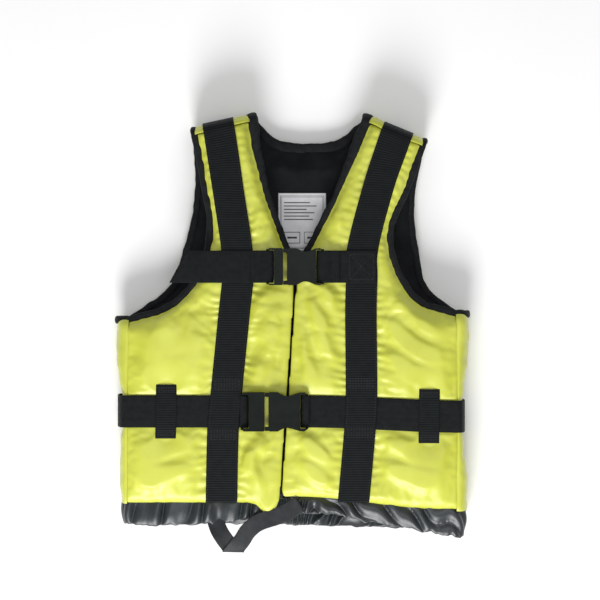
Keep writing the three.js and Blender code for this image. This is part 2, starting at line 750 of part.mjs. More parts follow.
// ---- assembly ----
addBack();
addFront('right', -1);
addFront('left', 1);
addSide('right', -1);
addSide('left', 1);
addShoulder('right', -1);
addShoulder('left', 1);
addBindings();
addVerticalWebbing('right', -1);
addVerticalWebbing('left', 1);
addChestStraps();
addWaistBelt();
addKeeper('right_belt_keeper', keeperX[0]);
addKeeper('left_belt_keeper', keeperX[1]);
addBuckle('chest', chestBuckle, chestStrapZ - webbingThickness / 2, chestStrapZ);
addBuckle('waist', waistBuckle, waistBuckleBottom, waistStrapZ);
addZipHalf('right', -1);
addZipHalf('left', 1);
addZipSlider();
addZipPull();
addZipStop();
addHem();
addHemTape();
addLabel();

// The origin sits under the middle of the whole vest, on the surface that it lies on.
vest.updateMatrixWorld(true);
const bounds = new THREE.Box3().setFromObject(vest);
const middle = bounds.getCenter(new THREE.Vector3());
vest.position.set(-middle.x, -middle.y, -bounds.min.z);

export default vest;
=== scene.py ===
"""Foam buoyancy vest lying on its back: sewn cloth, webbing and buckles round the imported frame."""
import math

import bmesh
import bpy
import numpy as np
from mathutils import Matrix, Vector


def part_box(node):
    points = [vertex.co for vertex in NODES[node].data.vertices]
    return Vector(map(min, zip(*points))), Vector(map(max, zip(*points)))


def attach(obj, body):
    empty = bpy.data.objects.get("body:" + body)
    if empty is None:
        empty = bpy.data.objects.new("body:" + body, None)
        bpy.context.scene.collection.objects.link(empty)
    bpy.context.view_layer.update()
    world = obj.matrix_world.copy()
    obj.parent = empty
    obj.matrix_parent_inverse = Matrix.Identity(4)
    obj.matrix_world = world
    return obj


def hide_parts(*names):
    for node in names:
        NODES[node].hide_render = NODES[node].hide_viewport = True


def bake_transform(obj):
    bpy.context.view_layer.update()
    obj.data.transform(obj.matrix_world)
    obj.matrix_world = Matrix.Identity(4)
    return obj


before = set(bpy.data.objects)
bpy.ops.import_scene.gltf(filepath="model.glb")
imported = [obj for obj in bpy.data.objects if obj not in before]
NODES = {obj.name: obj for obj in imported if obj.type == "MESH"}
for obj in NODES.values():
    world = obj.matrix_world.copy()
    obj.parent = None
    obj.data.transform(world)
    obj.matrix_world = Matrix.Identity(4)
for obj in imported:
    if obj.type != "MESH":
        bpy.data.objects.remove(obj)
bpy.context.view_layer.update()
MM = 0.001

# ---- the pattern, in millimetres, before the cloth is laid down ----
SEAM_X = 253.3
BOTTOM_Y = -269.0
SIDE_TOP_Y = 8.0
V_NECK_Y = 113.0
SHOULDER_INNER = 94.0
SHOULDER_OUTER = 169.0
SHOULDER_PEAK = 320.3
SHOULDER_SLOPE = 0.27
SHOULDER_RISE = 17.0
LEAN = 0.07
TILT = 0.05
BELT_Y = -130.0
CHEST_Y = 90.0
WEBBING = 50.0
THICK = 2.0
BINDING = 12.0
FRONT_GAP = 10.6
COVER = 0.7            # thickness of the cloth
PAD_FULL = 0.93        # share of the CAD pad's thickness before it swells
STAND = 9.0            # how far open cloth may stand over the CAD pad
PUCKER_PITCH = 13      # along the sewn-down webbing
CASING_PITCH = 34      # along the hem
CASING_STEP = 1.7
KEEPER_HALF = 41       # half the length of a keeper loop
STRAP_SLACK = 1.5      # over which cloth eases against a strap

# ---- levels and places read from the frame ----
SHIFT_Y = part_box("back_cover")[0].y / MM - BOTTOM_Y


def low(node):
    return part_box(node)[0] / MM


def high(node):
    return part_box(node)[1] / MM


FRONT_TOP = high("right_front_cover").z
FRONT_LOW = low("right_front_lining").z
BACK_TOP = high("back_lining").z
BACK_LOW = low("back_cover").z
MID_Z = (BACK_LOW + FRONT_TOP) / 2
FRONT_MID = (FRONT_LOW + FRONT_TOP) / 2
BACK_MID = (BACK_LOW + BACK_TOP) / 2
WEB_FRONT_Z = high("right_webbing").z - THICK / 2
WEB_BACK_Z = THICK / 2 + 0.45
CHEST_Z = low("chest_strap_right").z + THICK / 2
BELT_Z = low("waist_belt_left_run").z + THICK / 2
BELT_BACK_Z = low("waist_belt").z + THICK / 2


def smoothstep(x, a, b):
    t = np.clip((np.asarray(x, float) - a) / (b - a), 0, 1)
    return t * t * (3 - 2 * t)


def lay(x, y):
    """Pattern point to its place in the row frame: the centre leans and the shoulders tilt.

    The crests stand up beside the neck, and the wearer's left armhole is pulled out and up.
    """
    x, y = np.asarray(x, float), np.asarray(y, float)
    slack = np.maximum(0, 1 - np.abs(x) / SEAM_X)
    weight = slack + (1 - slack) * smoothstep(y, 0, 80)
    tilt = TILT * x * smoothstep(y, V_NECK_Y, 296)
    crest = (1 - smoothstep(np.abs(x), SHOULDER_INNER, np.where(x < 0, 128, 160))) * smoothstep(y, 258, 312)
    outer = smoothstep(x, 116, 158)
    shift_x = np.where(x < 0, 9.0, 1.0) * crest + 10 * outer * smoothstep(y, 15, 60)
    shift_y = np.where(x < 0, 4.0, 12.0) * crest
    shift_y = shift_y + 9 * outer * smoothstep(y, -30, 8) * (1 - smoothstep(y, 20, 85))
    return np.stack([x + LEAN * y * weight + shift_x, y - tilt + SHIFT_Y + shift_y], -1)


def spline(points, steps):
    """A smooth line through the points."""
    p = np.array(points, float)
    out = []
    for k in range(steps + 1):
        t = k / steps * (len(p) - 1)
        i = min(int(t), len(p) - 2)
        w = t - i
        a, b, c, d = p[max(i - 1, 0)], p[i], p[i + 1], p[min(i + 2, len(p) - 1)]
        v0, v1 = (c - a) / 2, (d - b) / 2
        cubic = 2 * b - 2 * c + v0 + v1
        square = -3 * b + 3 * c - 2 * v0 - v1
        out.append(cubic * w**3 + square * w**2 + v0 * w + b)
    return np.array(out)


def even(points, step):
    """The line again, with points about step apart."""
    p = np.array(points, float)
    s = np.concatenate([[0], np.cumsum(np.linalg.norm(np.diff(p, axis=0), axis=1))])
    at = np.linspace(0, s[-1], max(2, int(round(s[-1] / step)) + 1))
    return np.stack([np.interp(at, s, p[:, k]) for k in range(p.shape[1])], 1)


def panel_top(x):
    return SHOULDER_PEAK - SHOULDER_SLOPE * (x - SHOULDER_INNER) - SHOULDER_RISE


FRONT_ARMHOLE = spline([
    [SEAM_X, SIDE_TOP_Y], [228, 15], [198, 24], [170, 44], [152, 70], [143, 93], [136, 125],
    [136.5, 161], [149, 208], [159, 250], [SHOULDER_OUTER, panel_top(SHOULDER_OUTER)]], 52)
FRONT_NECK = spline([
    [SHOULDER_INNER, panel_top(SHOULDER_INNER)], [79, 270], [64, 232], [49, 190], [15, V_NECK_Y]], 28)
BACK_ARMHOLE = spline([
    [SEAM_X, SIDE_TOP_Y], [228, 25], [203, 43], [184, 68], [175, 105], [166, 145], [161, 185],
    [161, 225], [165, 256], [SHOULDER_OUTER, panel_top(SHOULDER_OUTER)]], 48)
BACK_NECK = spline([
    [SHOULDER_INNER, panel_top(SHOULDER_INNER)], [80, 293], [60, 280], [36, 273], [0, 271]], 24)
WEB_LINES = {
    -1: spline([[96, BOTTOM_Y + 1], [98.5, -158], [95.5, -97], [87.5, 64], [92, 115], [112, 205],
                [132, panel_top(132)]], 48),
    1: spline([[104, BOTTOM_Y + 1], [109, -158], [109, -97], [101, 64], [98.5, 115], [114, 205],
               [133, panel_top(133)]], 48),
}


# ---- smooth random fields that are the same each run ----
def field(points, wavelength, seed, count=14):
    """A smooth wandering value, about -1 to 1, at each point of a list in millimetres."""
    rng = np.random.default_rng(seed)
    p = np.asarray(points, float)
    total = np.zeros(len(p))
    for _ in range(count):
        way = rng.normal(size=p.shape[1])
        way /= np.linalg.norm(way)
        k = 2 * math.pi / (wavelength * rng.uniform(0.7, 1.5))
        total += np.sin(p @ way * k + rng.uniform(0, 2 * math.pi))
    return total / math.sqrt(count)


# ---- materials ----
class Paint:
    """Short names for the nodes of one material."""

    def __init__(self, name):
        self.material = bpy.data.materials.new(name)
        self.material.use_nodes = True
        self.tree = self.material.node_tree
        self.tree.nodes.clear()
        self.out = self.node("ShaderNodeOutputMaterial")
        self.shader = self.node("ShaderNodeBsdfPrincipled")
        self.link(self.shader.outputs[0], self.out.inputs[0])
        self.coords = self.node("ShaderNodeTexCoord")
        self.height = None

    def node(self, kind, **values):
        n = self.tree.nodes.new(kind)
        for key, value in values.items():
            if key in n.inputs:
                n.inputs[key].default_value = value
            else:
                setattr(n, key, value)
        return n

    def link(self, a, b):
        self.tree.links.new(a, b)

    def set(self, **values):
        for key, value in values.items():
            self.shader.inputs[key.replace("_", " ")].default_value = value

    def noise(self, scale, detail=3.0, rough=0.5, source="Object"):
        n = self.node("ShaderNodeTexNoise", Scale=scale, Detail=detail, Roughness=rough)
        self.link(self.coords.outputs[source], n.inputs["Vector"])
        return n.outputs["Fac"]

    def wave(self, period, axis, source="Object", distortion=0.0, detail_scale=1.0):
        n = self.node("ShaderNodeTexWave", bands_direction=axis)
        n.inputs["Scale"].default_value = math.pi / 10 / period
        n.inputs["Distortion"].default_value = distortion
        n.inputs["Detail Scale"].default_value = detail_scale
        self.link(self.coords.outputs[source], n.inputs["Vector"])
        return n.outputs["Fac"]

    def maths(self, kind, a, b):
        n = self.node("ShaderNodeMath", operation=kind)
        for value, socket in ((a, n.inputs[0]), (b, n.inputs[1])):
            if isinstance(value, (int, float)):
                socket.default_value = value
            else:
                self.link(value, socket)
        return n.outputs[0]

    def ramp(self, source, stops):
        n = self.node("ShaderNodeValToRGB")
        elements = n.color_ramp.elements
        while len(elements) < len(stops):
            elements.new(0.5)
        for element, (at, colour) in zip(elements, stops):
            element.position = at
            element.color = (*colour, 1)
        self.link(source, n.inputs[0])
        return n.outputs[0]

    def colour(self, source):
        self.link(source, self.shader.inputs["Base Color"])

    def roughness(self, source, lo, hi):
        n = self.node("ShaderNodeMapRange")
        n.inputs["To Min"].default_value = lo
        n.inputs["To Max"].default_value = hi
        self.link(source, n.inputs["Value"])
        self.link(n.outputs[0], self.shader.inputs["Roughness"])

    def bump(self, source, distance, strength=1.0):
        n = self.node("ShaderNodeBump")
        n.inputs["Strength"].default_value = strength
        n.inputs["Distance"].default_value = distance
        self.link(source, n.inputs["Height"])
        if self.height is not None:
            self.link(self.height, n.inputs["Normal"])
        self.height = n.outputs[0]
        self.link(self.height, self.shader.inputs["Normal"])


def finish(name, mottle, stops, gloss, bumps=(), weave=None, ribs=None, **settings):
    """A material from noise. mottle: scale and detail of the noise that runs through the colour stops.

    gloss: scale, detail, lowest and highest roughness. Each bump: scale, detail, roughness, depth, strength.
    weave: period, depth and strength of crossed threads. ribs: period, axis, source, depth and strength.
    """
    m = Paint(name)
    m.colour(m.ramp(m.noise(*mottle), stops))
    m.roughness(m.noise(*gloss[:2]), *gloss[2:])
    if ribs:
        m.bump(m.wave(*ribs[:3]), *ribs[3:])
    for *cloud, depth, strength in bumps:
        m.bump(m.noise(*cloud), depth, strength)
    if weave:
        m.bump(m.maths("ADD", m.wave(weave[0], "X"), m.wave(weave[0], "Y")), *weave[1:])
    m.set(**settings)
    return m.material


def ribbed_webbing():
    """Woven webbing with ribs across it every few millimetres and a selvedge at each edge. Its colour carries
    painted shade, darker in the rib valleys, over random tone.
    """
    m = Paint("ribbed_webbing")
    rib = m.wave(0.0036, "Y", "UV", 0.6, 2.0)
    # painted shade: the colour follows the rib relief, darker in its valleys, times random tone
    m.colour(m.ramp(m.maths("MULTIPLY", rib, m.noise(90, 3)), [
        (0.05, (0.003, 0.004, 0.005)), (0.45, (0.010, 0.012, 0.013))]))
    m.roughness(m.noise(200, 2), 0.42, 0.62)
    m.bump(rib, 0.0006, 0.4)
    m.bump(m.wave(0.0009, "X", "UV"), 0.0002, 0.35)
    m.set(Specular_IOR_Level=0.09)
    return m.material


def herringbone_webbing():
    """Belt webbing: twill that turns back at each rib, so it reads as herringbone. Its colour carries painted
    shade, darker in the twill grooves, over random tone.
    """
    m = Paint("herringbone_webbing")
    split = m.node("ShaderNodeSeparateXYZ")
    m.link(m.coords.outputs["UV"], split.inputs[0])
    zigzag = m.maths("PINGPONG", split.outputs["X"], 0.0045)
    slope = m.maths("ADD", split.outputs["Y"], zigzag)
    twill = m.maths("SINE", m.maths("MULTIPLY", slope, 2 * math.pi / 0.0028), 0.0)
    weave = m.maths("MULTIPLY_ADD", twill, 0.5)
    weave.node.inputs[2].default_value = 0.5
    # painted shade: the colour follows the twill relief, darker in its grooves, times random tone
    m.colour(m.ramp(m.maths("MULTIPLY", weave, m.noise(120, 3)), [
        (0.08, (0.003, 0.004, 0.004)), (0.5, (0.013, 0.015, 0.016))]))
    m.roughness(m.noise(200, 2), 0.5, 0.7)
    m.bump(weave, 0.0006, 0.6)
    m.set(Specular_IOR_Level=0.1)
    return m.material


# Coated nylon with soft crinkles and a satin shine.
YELLOW = finish(
    "yellow_coated_nylon", (14, 4),
    [(0.3, (0.46, 0.485, 0.035)), (0.5, (0.51, 0.54, 0.05)), (0.72, (0.56, 0.595, 0.075))],
    (30, 2, 0.38, 0.5), [(50, 4, 0.5, 0.0014, 0.3)], weave=(0.0011, 0.00008, 0.35),
    Specular_IOR_Level=0.55, Coat_Weight=0.12, Coat_Roughness=0.3, Sheen_Weight=0.05)
LINING = finish(
    "black_lining", (40, 4), [(0.3, (0.0035, 0.004, 0.005)), (0.75, (0.009, 0.010, 0.011))],
    (60, 2, 0.6, 0.8), [(35, 5, 0.6, 0.002, 0.5)], weave=(0.0013, 0.0001, 0.4), Specular_IOR_Level=0.12)
# Grosgrain, ribbed across.
BIND = finish(
    "black_binding", (120, 3), [(0.35, (0.004, 0.005, 0.006)), (0.8, (0.011, 0.012, 0.014))],
    (90, 2, 0.55, 0.75), [(160, 3, 0.5, 0.0005, 0.3)], ribs=(0.0014, "Y", "UV", 0.00025, 0.6),
    Specular_IOR_Level=0.16)
RIBBED = ribbed_webbing()
HERRING = herringbone_webbing()
TAPE = finish(
    "hem_tape_weave", (70, 4), [(0.3, (0.008, 0.009, 0.011)), (0.75, (0.022, 0.025, 0.029))],
    (90, 2, 0.4, 0.6), [(90, 3, 0.5, 0.0006, 0.3)], ribs=(0.0012, "Y", "UV", 0.0002, 0.5),
    Specular_IOR_Level=0.3)
PLASTIC = finish(
    "black_plastic", (60, 4), [(0.3, (0.002, 0.004, 0.003)), (0.75, (0.005, 0.008, 0.006))],
    (45, 4, 0.3, 0.46), [(900, 2, 0.5, 0.00008, 0.3)], Specular_IOR_Level=0.12)
# Thin nylon with a cool sheen on its folds.
CASING = finish(
    "black_nylon", (25, 4), [(0.3, (0.003, 0.006, 0.008)), (0.75, (0.009, 0.015, 0.019))],
    (40, 3, 0.36, 0.48), [(45, 3, 0.5, 0.0012, 0.4)], weave=(0.001, 0.00008, 0.3),
    Specular_IOR_Level=0.6, Coat_Weight=0.08, Coat_Roughness=0.35, Sheen_Weight=0.05)
LABEL = finish(
    "white_label", (50, 3), [(0.3, (0.66, 0.67, 0.69)), (0.7, (0.80, 0.80, 0.82))],
    (80, 2, 0.45, 0.6), [(60, 3, 0.5, 0.001, 0.3)], ribs=(0.0008, "X", "Object", 0.00006, 0.3))
INK = finish(
    "label_ink", (400, 2), [(0.3, (0.03, 0.03, 0.035)), (0.7, (0.09, 0.09, 0.10))], (200, 2, 0.6, 0.8))
THREAD = finish(
    "black_thread", (500, 2), [(0.3, (0.004, 0.004, 0.005)), (0.7, (0.016, 0.016, 0.018))],
    (300, 2, 0.5, 0.7), [(1500, 2, 0.5, 0.0001, 0.4)])
METAL = finish(
    "zip_metal", (150, 4), [(0.35, (0.02, 0.02, 0.022)), (0.8, (0.08, 0.08, 0.085))],
    (200, 3, 0.3, 0.5), [(600, 2, 0.5, 0.00005, 0.3)], Metallic=0.7)
FLOOR = finish(
    "pale_floor", (3, 2), [(0.2, (0.90, 0.90, 0.90)), (0.8, (0.93, 0.93, 0.93))], (20, 2, 0.8, 0.9))


# ---- mesh helpers; points are in millimetres ----
def new_object(name, points, faces, material, smooth=True):
    mesh = bpy.data.meshes.new(name)
    mesh.from_pydata((np.asarray(points, float) * MM).tolist(), [], [list(map(int, f)) for f in faces])
    mesh.validate()
    if smooth:
        mesh.polygons.foreach_set("use_smooth", [True] * len(mesh.polygons))
    obj = bpy.data.objects.new(name, mesh)
    bpy.context.scene.collection.objects.link(obj)
    obj.data.materials.append(material)
    return obj


def read_points(obj):
    co = np.zeros(len(obj.data.vertices) * 3, np.float32)
    obj.data.vertices.foreach_get("co", co)
    return co.reshape(-1, 3).astype(float) / MM


def write_points(obj, points):
    obj.data.vertices.foreach_set("co", (np.asarray(points) * MM).astype(np.float32).ravel())
    obj.data.update()


def normals(obj):
    n = np.zeros(len(obj.data.vertices) * 3, np.float32)
    obj.data.vertex_normals.foreach_get("vector", n)
    return n.reshape(-1, 3).astype(float)


def bake(obj):
    """Replaces the object's mesh by what its modifiers make of it."""
    bpy.context.view_layer.update()
    evaluated = obj.evaluated_get(bpy.context.evaluated_depsgraph_get())
    mesh = bpy.data.meshes.new_from_object(evaluated)
    obj.modifiers.clear()
    old = obj.data
    obj.data = mesh
    bpy.data.meshes.remove(old)
    obj.data.polygons.foreach_set("use_smooth", [True] * len(obj.data.polygons))
    return obj


def finer(obj, levels=1):
    m = obj.modifiers.new("finer", "SUBSURF")
    m.levels = m.render_levels = levels
    return bake(obj)


def line_distance(points, line):
    """Distance of each plan point from a polyline, and how far along the line its foot is."""
    p = np.asarray(points, float)[:, None, :2]
    a, b = line[None, :-1, :2], line[None, 1:, :2]
    d = b - a
    t = np.clip(((p - a) * d).sum(2) / np.maximum((d * d).sum(2), 1e-9), 0, 1)
    gap = np.linalg.norm(p - a - t[..., None] * d, axis=2)
    best = gap.argmin(1)
    lengths = np.linalg.norm(line[1:, :2] - line[:-1, :2], axis=1)
    start = np.concatenate([[0], np.cumsum(lengths)[:-1]])
    row = np.arange(len(best))
    return gap[row, best], start[best] + t[row, best] * lengths[best]


def sweep(name, centres, outs, ups, profile, material, closed=False):
    """A body with one cross-section along a line: each profile point is (out, up)."""
    centres, outs, ups = (np.asarray(v, float) for v in (centres, outs, ups))
    profile = np.asarray(profile, float)
    rows, cols = len(centres), profile.shape[-2]
    section = profile if profile.ndim == 3 else np.repeat(profile[None], rows, 0)
    points = centres[:, None] + outs[:, None] * section[..., :1] + ups[:, None] * section[..., 1:2]
    faces = []
    for r in range(rows if closed else rows - 1):
        n = (r + 1) % rows
        for c in range(cols):
            d = (c + 1) % cols
            faces.append((r * cols + c, r * cols + d, n * cols + d, n * cols + c))
    if not closed:
        faces.append(tuple(range(cols))[::-1])
        faces.append(tuple((rows - 1) * cols + c for c in range(cols)))
    obj = new_object(name, points.reshape(-1, 3), faces, material)
    along = np.concatenate([[0], np.cumsum(np.linalg.norm(np.diff(centres, axis=0), axis=1))])
    uv = np.stack([section[..., 0], np.repeat(along[:, None], cols, 1)], -1).reshape(-1, 2) * MM
    layer = obj.data.uv_layers.new(name="UVMap")
    index = np.zeros(len(obj.data.loops), np.int32)
    obj.data.loops.foreach_get("vertex_index", index)
    layer.data.foreach_set("uv", uv[index].astype(np.float32).ravel())
    fix_normals(obj)
    return obj


def fix_normals(obj):
    bm = bmesh.new()
    bm.from_mesh(obj.data)
    bmesh.ops.recalc_face_normals(bm, faces=bm.faces)
    bm.to_mesh(obj.data)
    bm.free()


def strap_profile(width, thick):
    """A flat woven band's section, with soft selvedges."""
    across = np.array([-1, -0.985, -0.93, -0.6, -0.2, 0.2, 0.6, 0.93, 0.985, 1.0]) * width / 2
    rise = np.array([0.35, 0.85, 1, 0.96, 1, 1, 0.96, 1, 0.85, 0.35]) * thick / 2
    return np.concatenate([np.stack([across, rise], 1), np.stack([across[::-1], -rise[::-1]], 1)])


def unit(v):
    v = np.asarray(v, float)
    return v / np.maximum(np.linalg.norm(v, axis=-1, keepdims=True), 1e-9)


def ribbon(name, centres, faces_up, width, material, across, thick=THICK, step=3.0):
    """A strap along a line of centres, with the ways that its face and its width look at each of them."""
    centres, across = np.asarray(centres, float), np.asarray(across, float)
    if across.ndim == 1:
        across = np.repeat(across[None], len(centres), 0)
    packed = even(np.concatenate([centres, faces_up, across], 1), step)
    at, up, side = packed[:, :3], unit(packed[:, 3:6]), unit(packed[:, 6:9])
    up = unit(up - side * (up * side).sum(1, keepdims=True))
    return sweep(name, at, side, up, strap_profile(width, thick), material)


# ---- straps and seams that press on the cloth ----
def laid_line(points, side):
    return lay(side * points[:, 0], points[:, 1])


def web_lines():
    return [laid_line(WEB_LINES[side], side) for side in (-1, 1)]


def row_line(y, x0, x1):
    return np.array([[x0, y + SHIFT_Y], [x1, y + SHIFT_Y]], float)


def belt_drop(x):
    """How far the belt hangs below its level toward the wearer's left."""
    return 8.0 * smoothstep(x, 30, SEAM_X)


def belt_line():
    y = BELT_Y + SHIFT_Y
    return np.array([[x, y - belt_drop(x)] for x in (-SEAM_X - 12, 30, 85, 140, 200, SEAM_X + 12)])


CHEST_X = (low("chest_strap_right").x, high("chest_strap_left").x)
KEEPER_X = [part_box(n)[0].x / MM / 2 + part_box(n)[1].x / MM / 2
            for n in ("right_belt_keeper", "left_belt_keeper")]


def front_ceiling(p):
    """The highest that the cloth may stand at each plan point: it dips under each strap."""
    roof = np.full(len(p), FRONT_TOP + STAND)

    def strap(line, under, half, give):
        d, _ = line_distance(p, line)
        out = np.maximum(0, d - half)
        np.minimum(roof, under - 0.35 + STAND * (1 - np.exp(-out / give)), out=roof)

    for line in web_lines():
        strap(line, WEB_FRONT_Z - THICK / 2, WEBBING / 2, 14)
    strap(belt_line(), BELT_Z - THICK / 2, WEBBING / 2, 11)
    strap(row_line(CHEST_Y, *CHEST_X), CHEST_Z - THICK / 2, WEBBING / 2, 14)
    for x in KEEPER_X:
        y = BELT_Y + SHIFT_Y - belt_drop(x)
        strap(np.array([[x, y - 34], [x, y + 34]]), FRONT_TOP + 0.1, 12, 30)
    return roof


def back_floor(p):
    """The lowest that the back's cloth may hang: it lifts over each strap."""
    ground = np.full(len(p), 0.35)
    for line in web_lines():
        d, _ = line_distance(p, line)
        np.maximum(ground, THICK + 0.7 - 2.2 * (1 - np.exp(-np.maximum(0, d - WEBBING / 2) / 8)), out=ground)
    d, _ = line_distance(p, belt_line())
    drop = 4.6 * (1 - np.exp(-np.maximum(0, d - WEBBING / 2) / 9))
    np.maximum(ground, BELT_BACK_Z + THICK / 2 + 0.4 - drop, out=ground)
    return ground


# ---- foam pads under their cloth ----
def edge_factor(p, edges):
    """How much of its full thickness a pad has at each plan point, from how near its edges are."""
    share = np.ones(len(p))
    for line, radius, end in edges:
        d, _ = line_distance(p, line)
        rim = BINDING / 2 if end < 0.3 else 0
        t = 1 - np.clip((d - rim) / radius, 0, 1)
        share = np.minimum(share, end + (1 - end) * np.sqrt(1 - t * t))
    return share


def slab(name, outline, z_low, z_high, voxel):
    """A flat slab of the outline, remeshed into even squares."""
    count = len(outline)
    base = np.concatenate([np.column_stack([outline, np.full(count, z)]) for z in (z_low, z_high)])
    faces = [tuple(range(count))[::-1], tuple(range(count, 2 * count))]
    faces += [(i, (i + 1) % count, count + (i + 1) % count, count + i) for i in range(count)]
    obj = new_object(name, base, faces, YELLOW)
    fix_normals(obj)
    m = obj.modifiers.new("even", "REMESH")
    m.mode = "VOXEL"
    m.voxel_size = voxel * MM
    return bake(obj)


def swell(obj, held, seed, pressure=4.0, slack=0.02, cap=9.0, frames=20):
    """Blows the cover up as cloth, held where held is 1, and keeps what it becomes."""
    start = read_points(obj)
    group = obj.vertex_groups.new(name="held")
    for level in (0.25, 0.5, 0.75, 1.0):
        chosen = np.nonzero((held > level - 0.25) & (held <= level))[0]
        group.add(chosen.tolist(), level, "REPLACE")
    rng = np.random.default_rng(seed)
    write_points(obj, start + rng.normal(scale=0.05, size=start.shape))
    m = obj.modifiers.new("cloth", "CLOTH")
    s = m.settings
    s.quality = 4
    s.mass = 0.25
    s.tension_stiffness = s.compression_stiffness = 18
    s.shear_stiffness = 8
    s.bending_stiffness = 0.35
    s.use_pressure = True
    s.uniform_pressure_force = pressure
    s.shrink_min = s.shrink_max = -slack
    s.vertex_group_mass = "held"
    s.effector_weights.gravity = 0
    m.collision_settings.use_self_collision = False
    m.collision_settings.use_collision = False
    m.point_cache.frame_start = 1
    m.point_cache.frame_end = frames
    scene = bpy.context.scene
    for frame_number in range(1, frames + 1):
        scene.frame_set(frame_number)
    evaluated = obj.evaluated_get(bpy.context.evaluated_depsgraph_get())
    co = np.zeros(len(start) * 3, np.float32)
    evaluated.data.vertices.foreach_get("co", co)
    moved = co.reshape(-1, 3).astype(float) / MM - start
    size = np.linalg.norm(moved, axis=1, keepdims=True)
    moved *= np.minimum(1, cap / np.maximum(size, 1e-6))
    obj.modifiers.clear()
    scene.frame_set(1)
    write_points(obj, start + moved)


def settle(obj, slot, *nodes):
    """Puts a piece on the root body in place of its CAD nodes."""
    if nodes:
        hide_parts(*nodes)
    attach(obj, "root")
    return obj


def plan_gap(p, edges):
    """Each point's distance from the nearest of a pad's edges."""
    return np.min([line_distance(p, line)[0] for line, _, _ in edges], 0)


def face_share(obj, kept, name, material):
    """A copy with only the kept faces, given the thickness of the cloth."""
    mesh = obj.data.copy()
    mesh.name = name
    part = bpy.data.objects.new(name, mesh)
    bpy.context.scene.collection.objects.link(part)
    bm = bmesh.new()
    bm.from_mesh(mesh)
    bmesh.ops.delete(bm, geom=[f for f in bm.faces if not kept[f.index]], context="FACES")
    bm.to_mesh(mesh)
    bm.free()
    mesh.materials.clear()
    mesh.materials.append(material)
    m = part.modifiers.new("cloth thickness", "SOLIDIFY")
    m.thickness = COVER * MM
    m.offset = -1
    return bake(part)


def split_pad(obj, outward, middle, limit, cover, lining):
    """Cuts the closed pad into its cover and its lining, each given as its name and its CAD nodes."""
    levels = np.array([f.center.z for f in obj.data.polygons]) / MM
    facing = np.array([f.normal.z for f in obj.data.polygons])
    inner = (facing * outward < -limit) & (levels * outward < middle * outward)
    for (name, *nodes), kept, material in ((cover, ~inner, YELLOW), (lining, inner, LINING)):
        part = face_share(obj, kept, name, material)
        settle(part, material.name.split(".")[0], *nodes)
    bpy.data.objects.remove(obj)


FRONT_EDGE = [[FRONT_GAP / 2, y] for y in np.linspace(V_NECK_Y - 13, BOTTOM_Y, 14)]
SEAM = np.array([[SEAM_X, BOTTOM_Y], [SEAM_X, SIDE_TOP_Y]])
CREST = np.array([[x, panel_top(x)] for x in (SHOULDER_INNER, SHOULDER_OUTER)])


def front_edges(side):
    """A front pad's edges, each with the width it is rounded over and its share of thickness there."""
    opening = np.array([[15, V_NECK_Y]] + FRONT_EDGE)
    hem = np.array([[FRONT_GAP / 2, BOTTOM_Y], [SEAM_X, BOTTOM_Y]])
    classes = ((FRONT_NECK, 16, 0.2), (FRONT_ARMHOLE, 18, 0.2), (opening, 7, 0.94), (hem, 15, 0.3),
               (SEAM, 14, 0.82), (CREST, 6, 0.97))
    return [(laid_line(line, side), radius, end) for line, radius, end in classes]


def near(d, reach):
    """1 on a line, falling smoothly to 0 at reach."""
    return 1 - smoothstep(d, 0, reach)


def strap_hold(p):
    """1 where a strap holds the front's cloth down, 0 in the open."""
    hold = np.zeros(len(p))
    for line in web_lines():
        hold = np.maximum(hold, 1 - smoothstep(line_distance(p, line)[0], 22, 30))
    for line in (belt_line(), row_line(CHEST_Y, *CHEST_X)):
        hold = np.maximum(hold, 1 - smoothstep(line_distance(p, line)[0], 21, 29))
    return hold


def edge_hold(p, edges, reach=6):
    """1 at a pad's edges, where its cloth is sewn down."""
    return near(plan_gap(p, edges), reach)


def puckers(p, seed):
    """Small gathers in the cloth along both edges of each sewn-down webbing."""
    rise = np.zeros(len(p))
    for k, line in enumerate(web_lines()):
        d, s = line_distance(p, line)
        out = np.maximum(0, d - WEBBING / 2)
        wave = np.sin(2 * math.pi * (s + 3.5 * field(p, 50, seed + k)) / PUCKER_PITCH)
        strength = 0.5 + 0.5 * np.clip(field(p, 90, seed + 10 + k), -1, 1)
        rise += np.exp(-out / 11) * wave * (0.4 + 1.1 * strength)
    return rise


# folds on the pattern: start, end, half width and height of each ridge
RIGHT_FOLDS = [
    ((-60, 40), (-92, -60), 13, 2.2), ((-30, 62), (-66, 10), 9, 1.8), ((-150, 52), (-210, 10), 12, 2.4),
    ((-140, 30), (-225, -30), 15, 2.0), ((-20, -20), (-60, -96), 12, 2.0),
    ((-132, -60), (-240, -86), 12, 2.0), ((-24, -165), (-70, -235), 10, 2.4),
    ((-130, -170), (-235, -200), 12, 2.2), ((-140, -215), (-240, -245), 11, 2.0),
    ((-60, -175), (-30, -250), 8, 2.0), ((-52, 190), (-70, 130), 8, 1.5),
]
LEFT_FOLDS = [
    ((24, 96), (70, 20), 11, 3.0), ((16, 60), (66, -20), 10, 2.6), ((30, 20), (74, -60), 10, 2.4),
    ((14, 0), (40, -95), 9, 2.2), ((128, 60), (236, -20), 12, 3.0), ((126, 20), (240, -62), 12, 3.0),
    ((130, -30), (236, -92), 11, 2.4), ((18, -160), (70, -206), 9, 2.6), ((22, -200), (80, -250), 10, 2.2),
    ((132, -165), (238, -196), 11, 2.6), ((130, -205), (236, -240), 11, 2.4), ((52, 190), (66, 140), 8, 1.5),
]


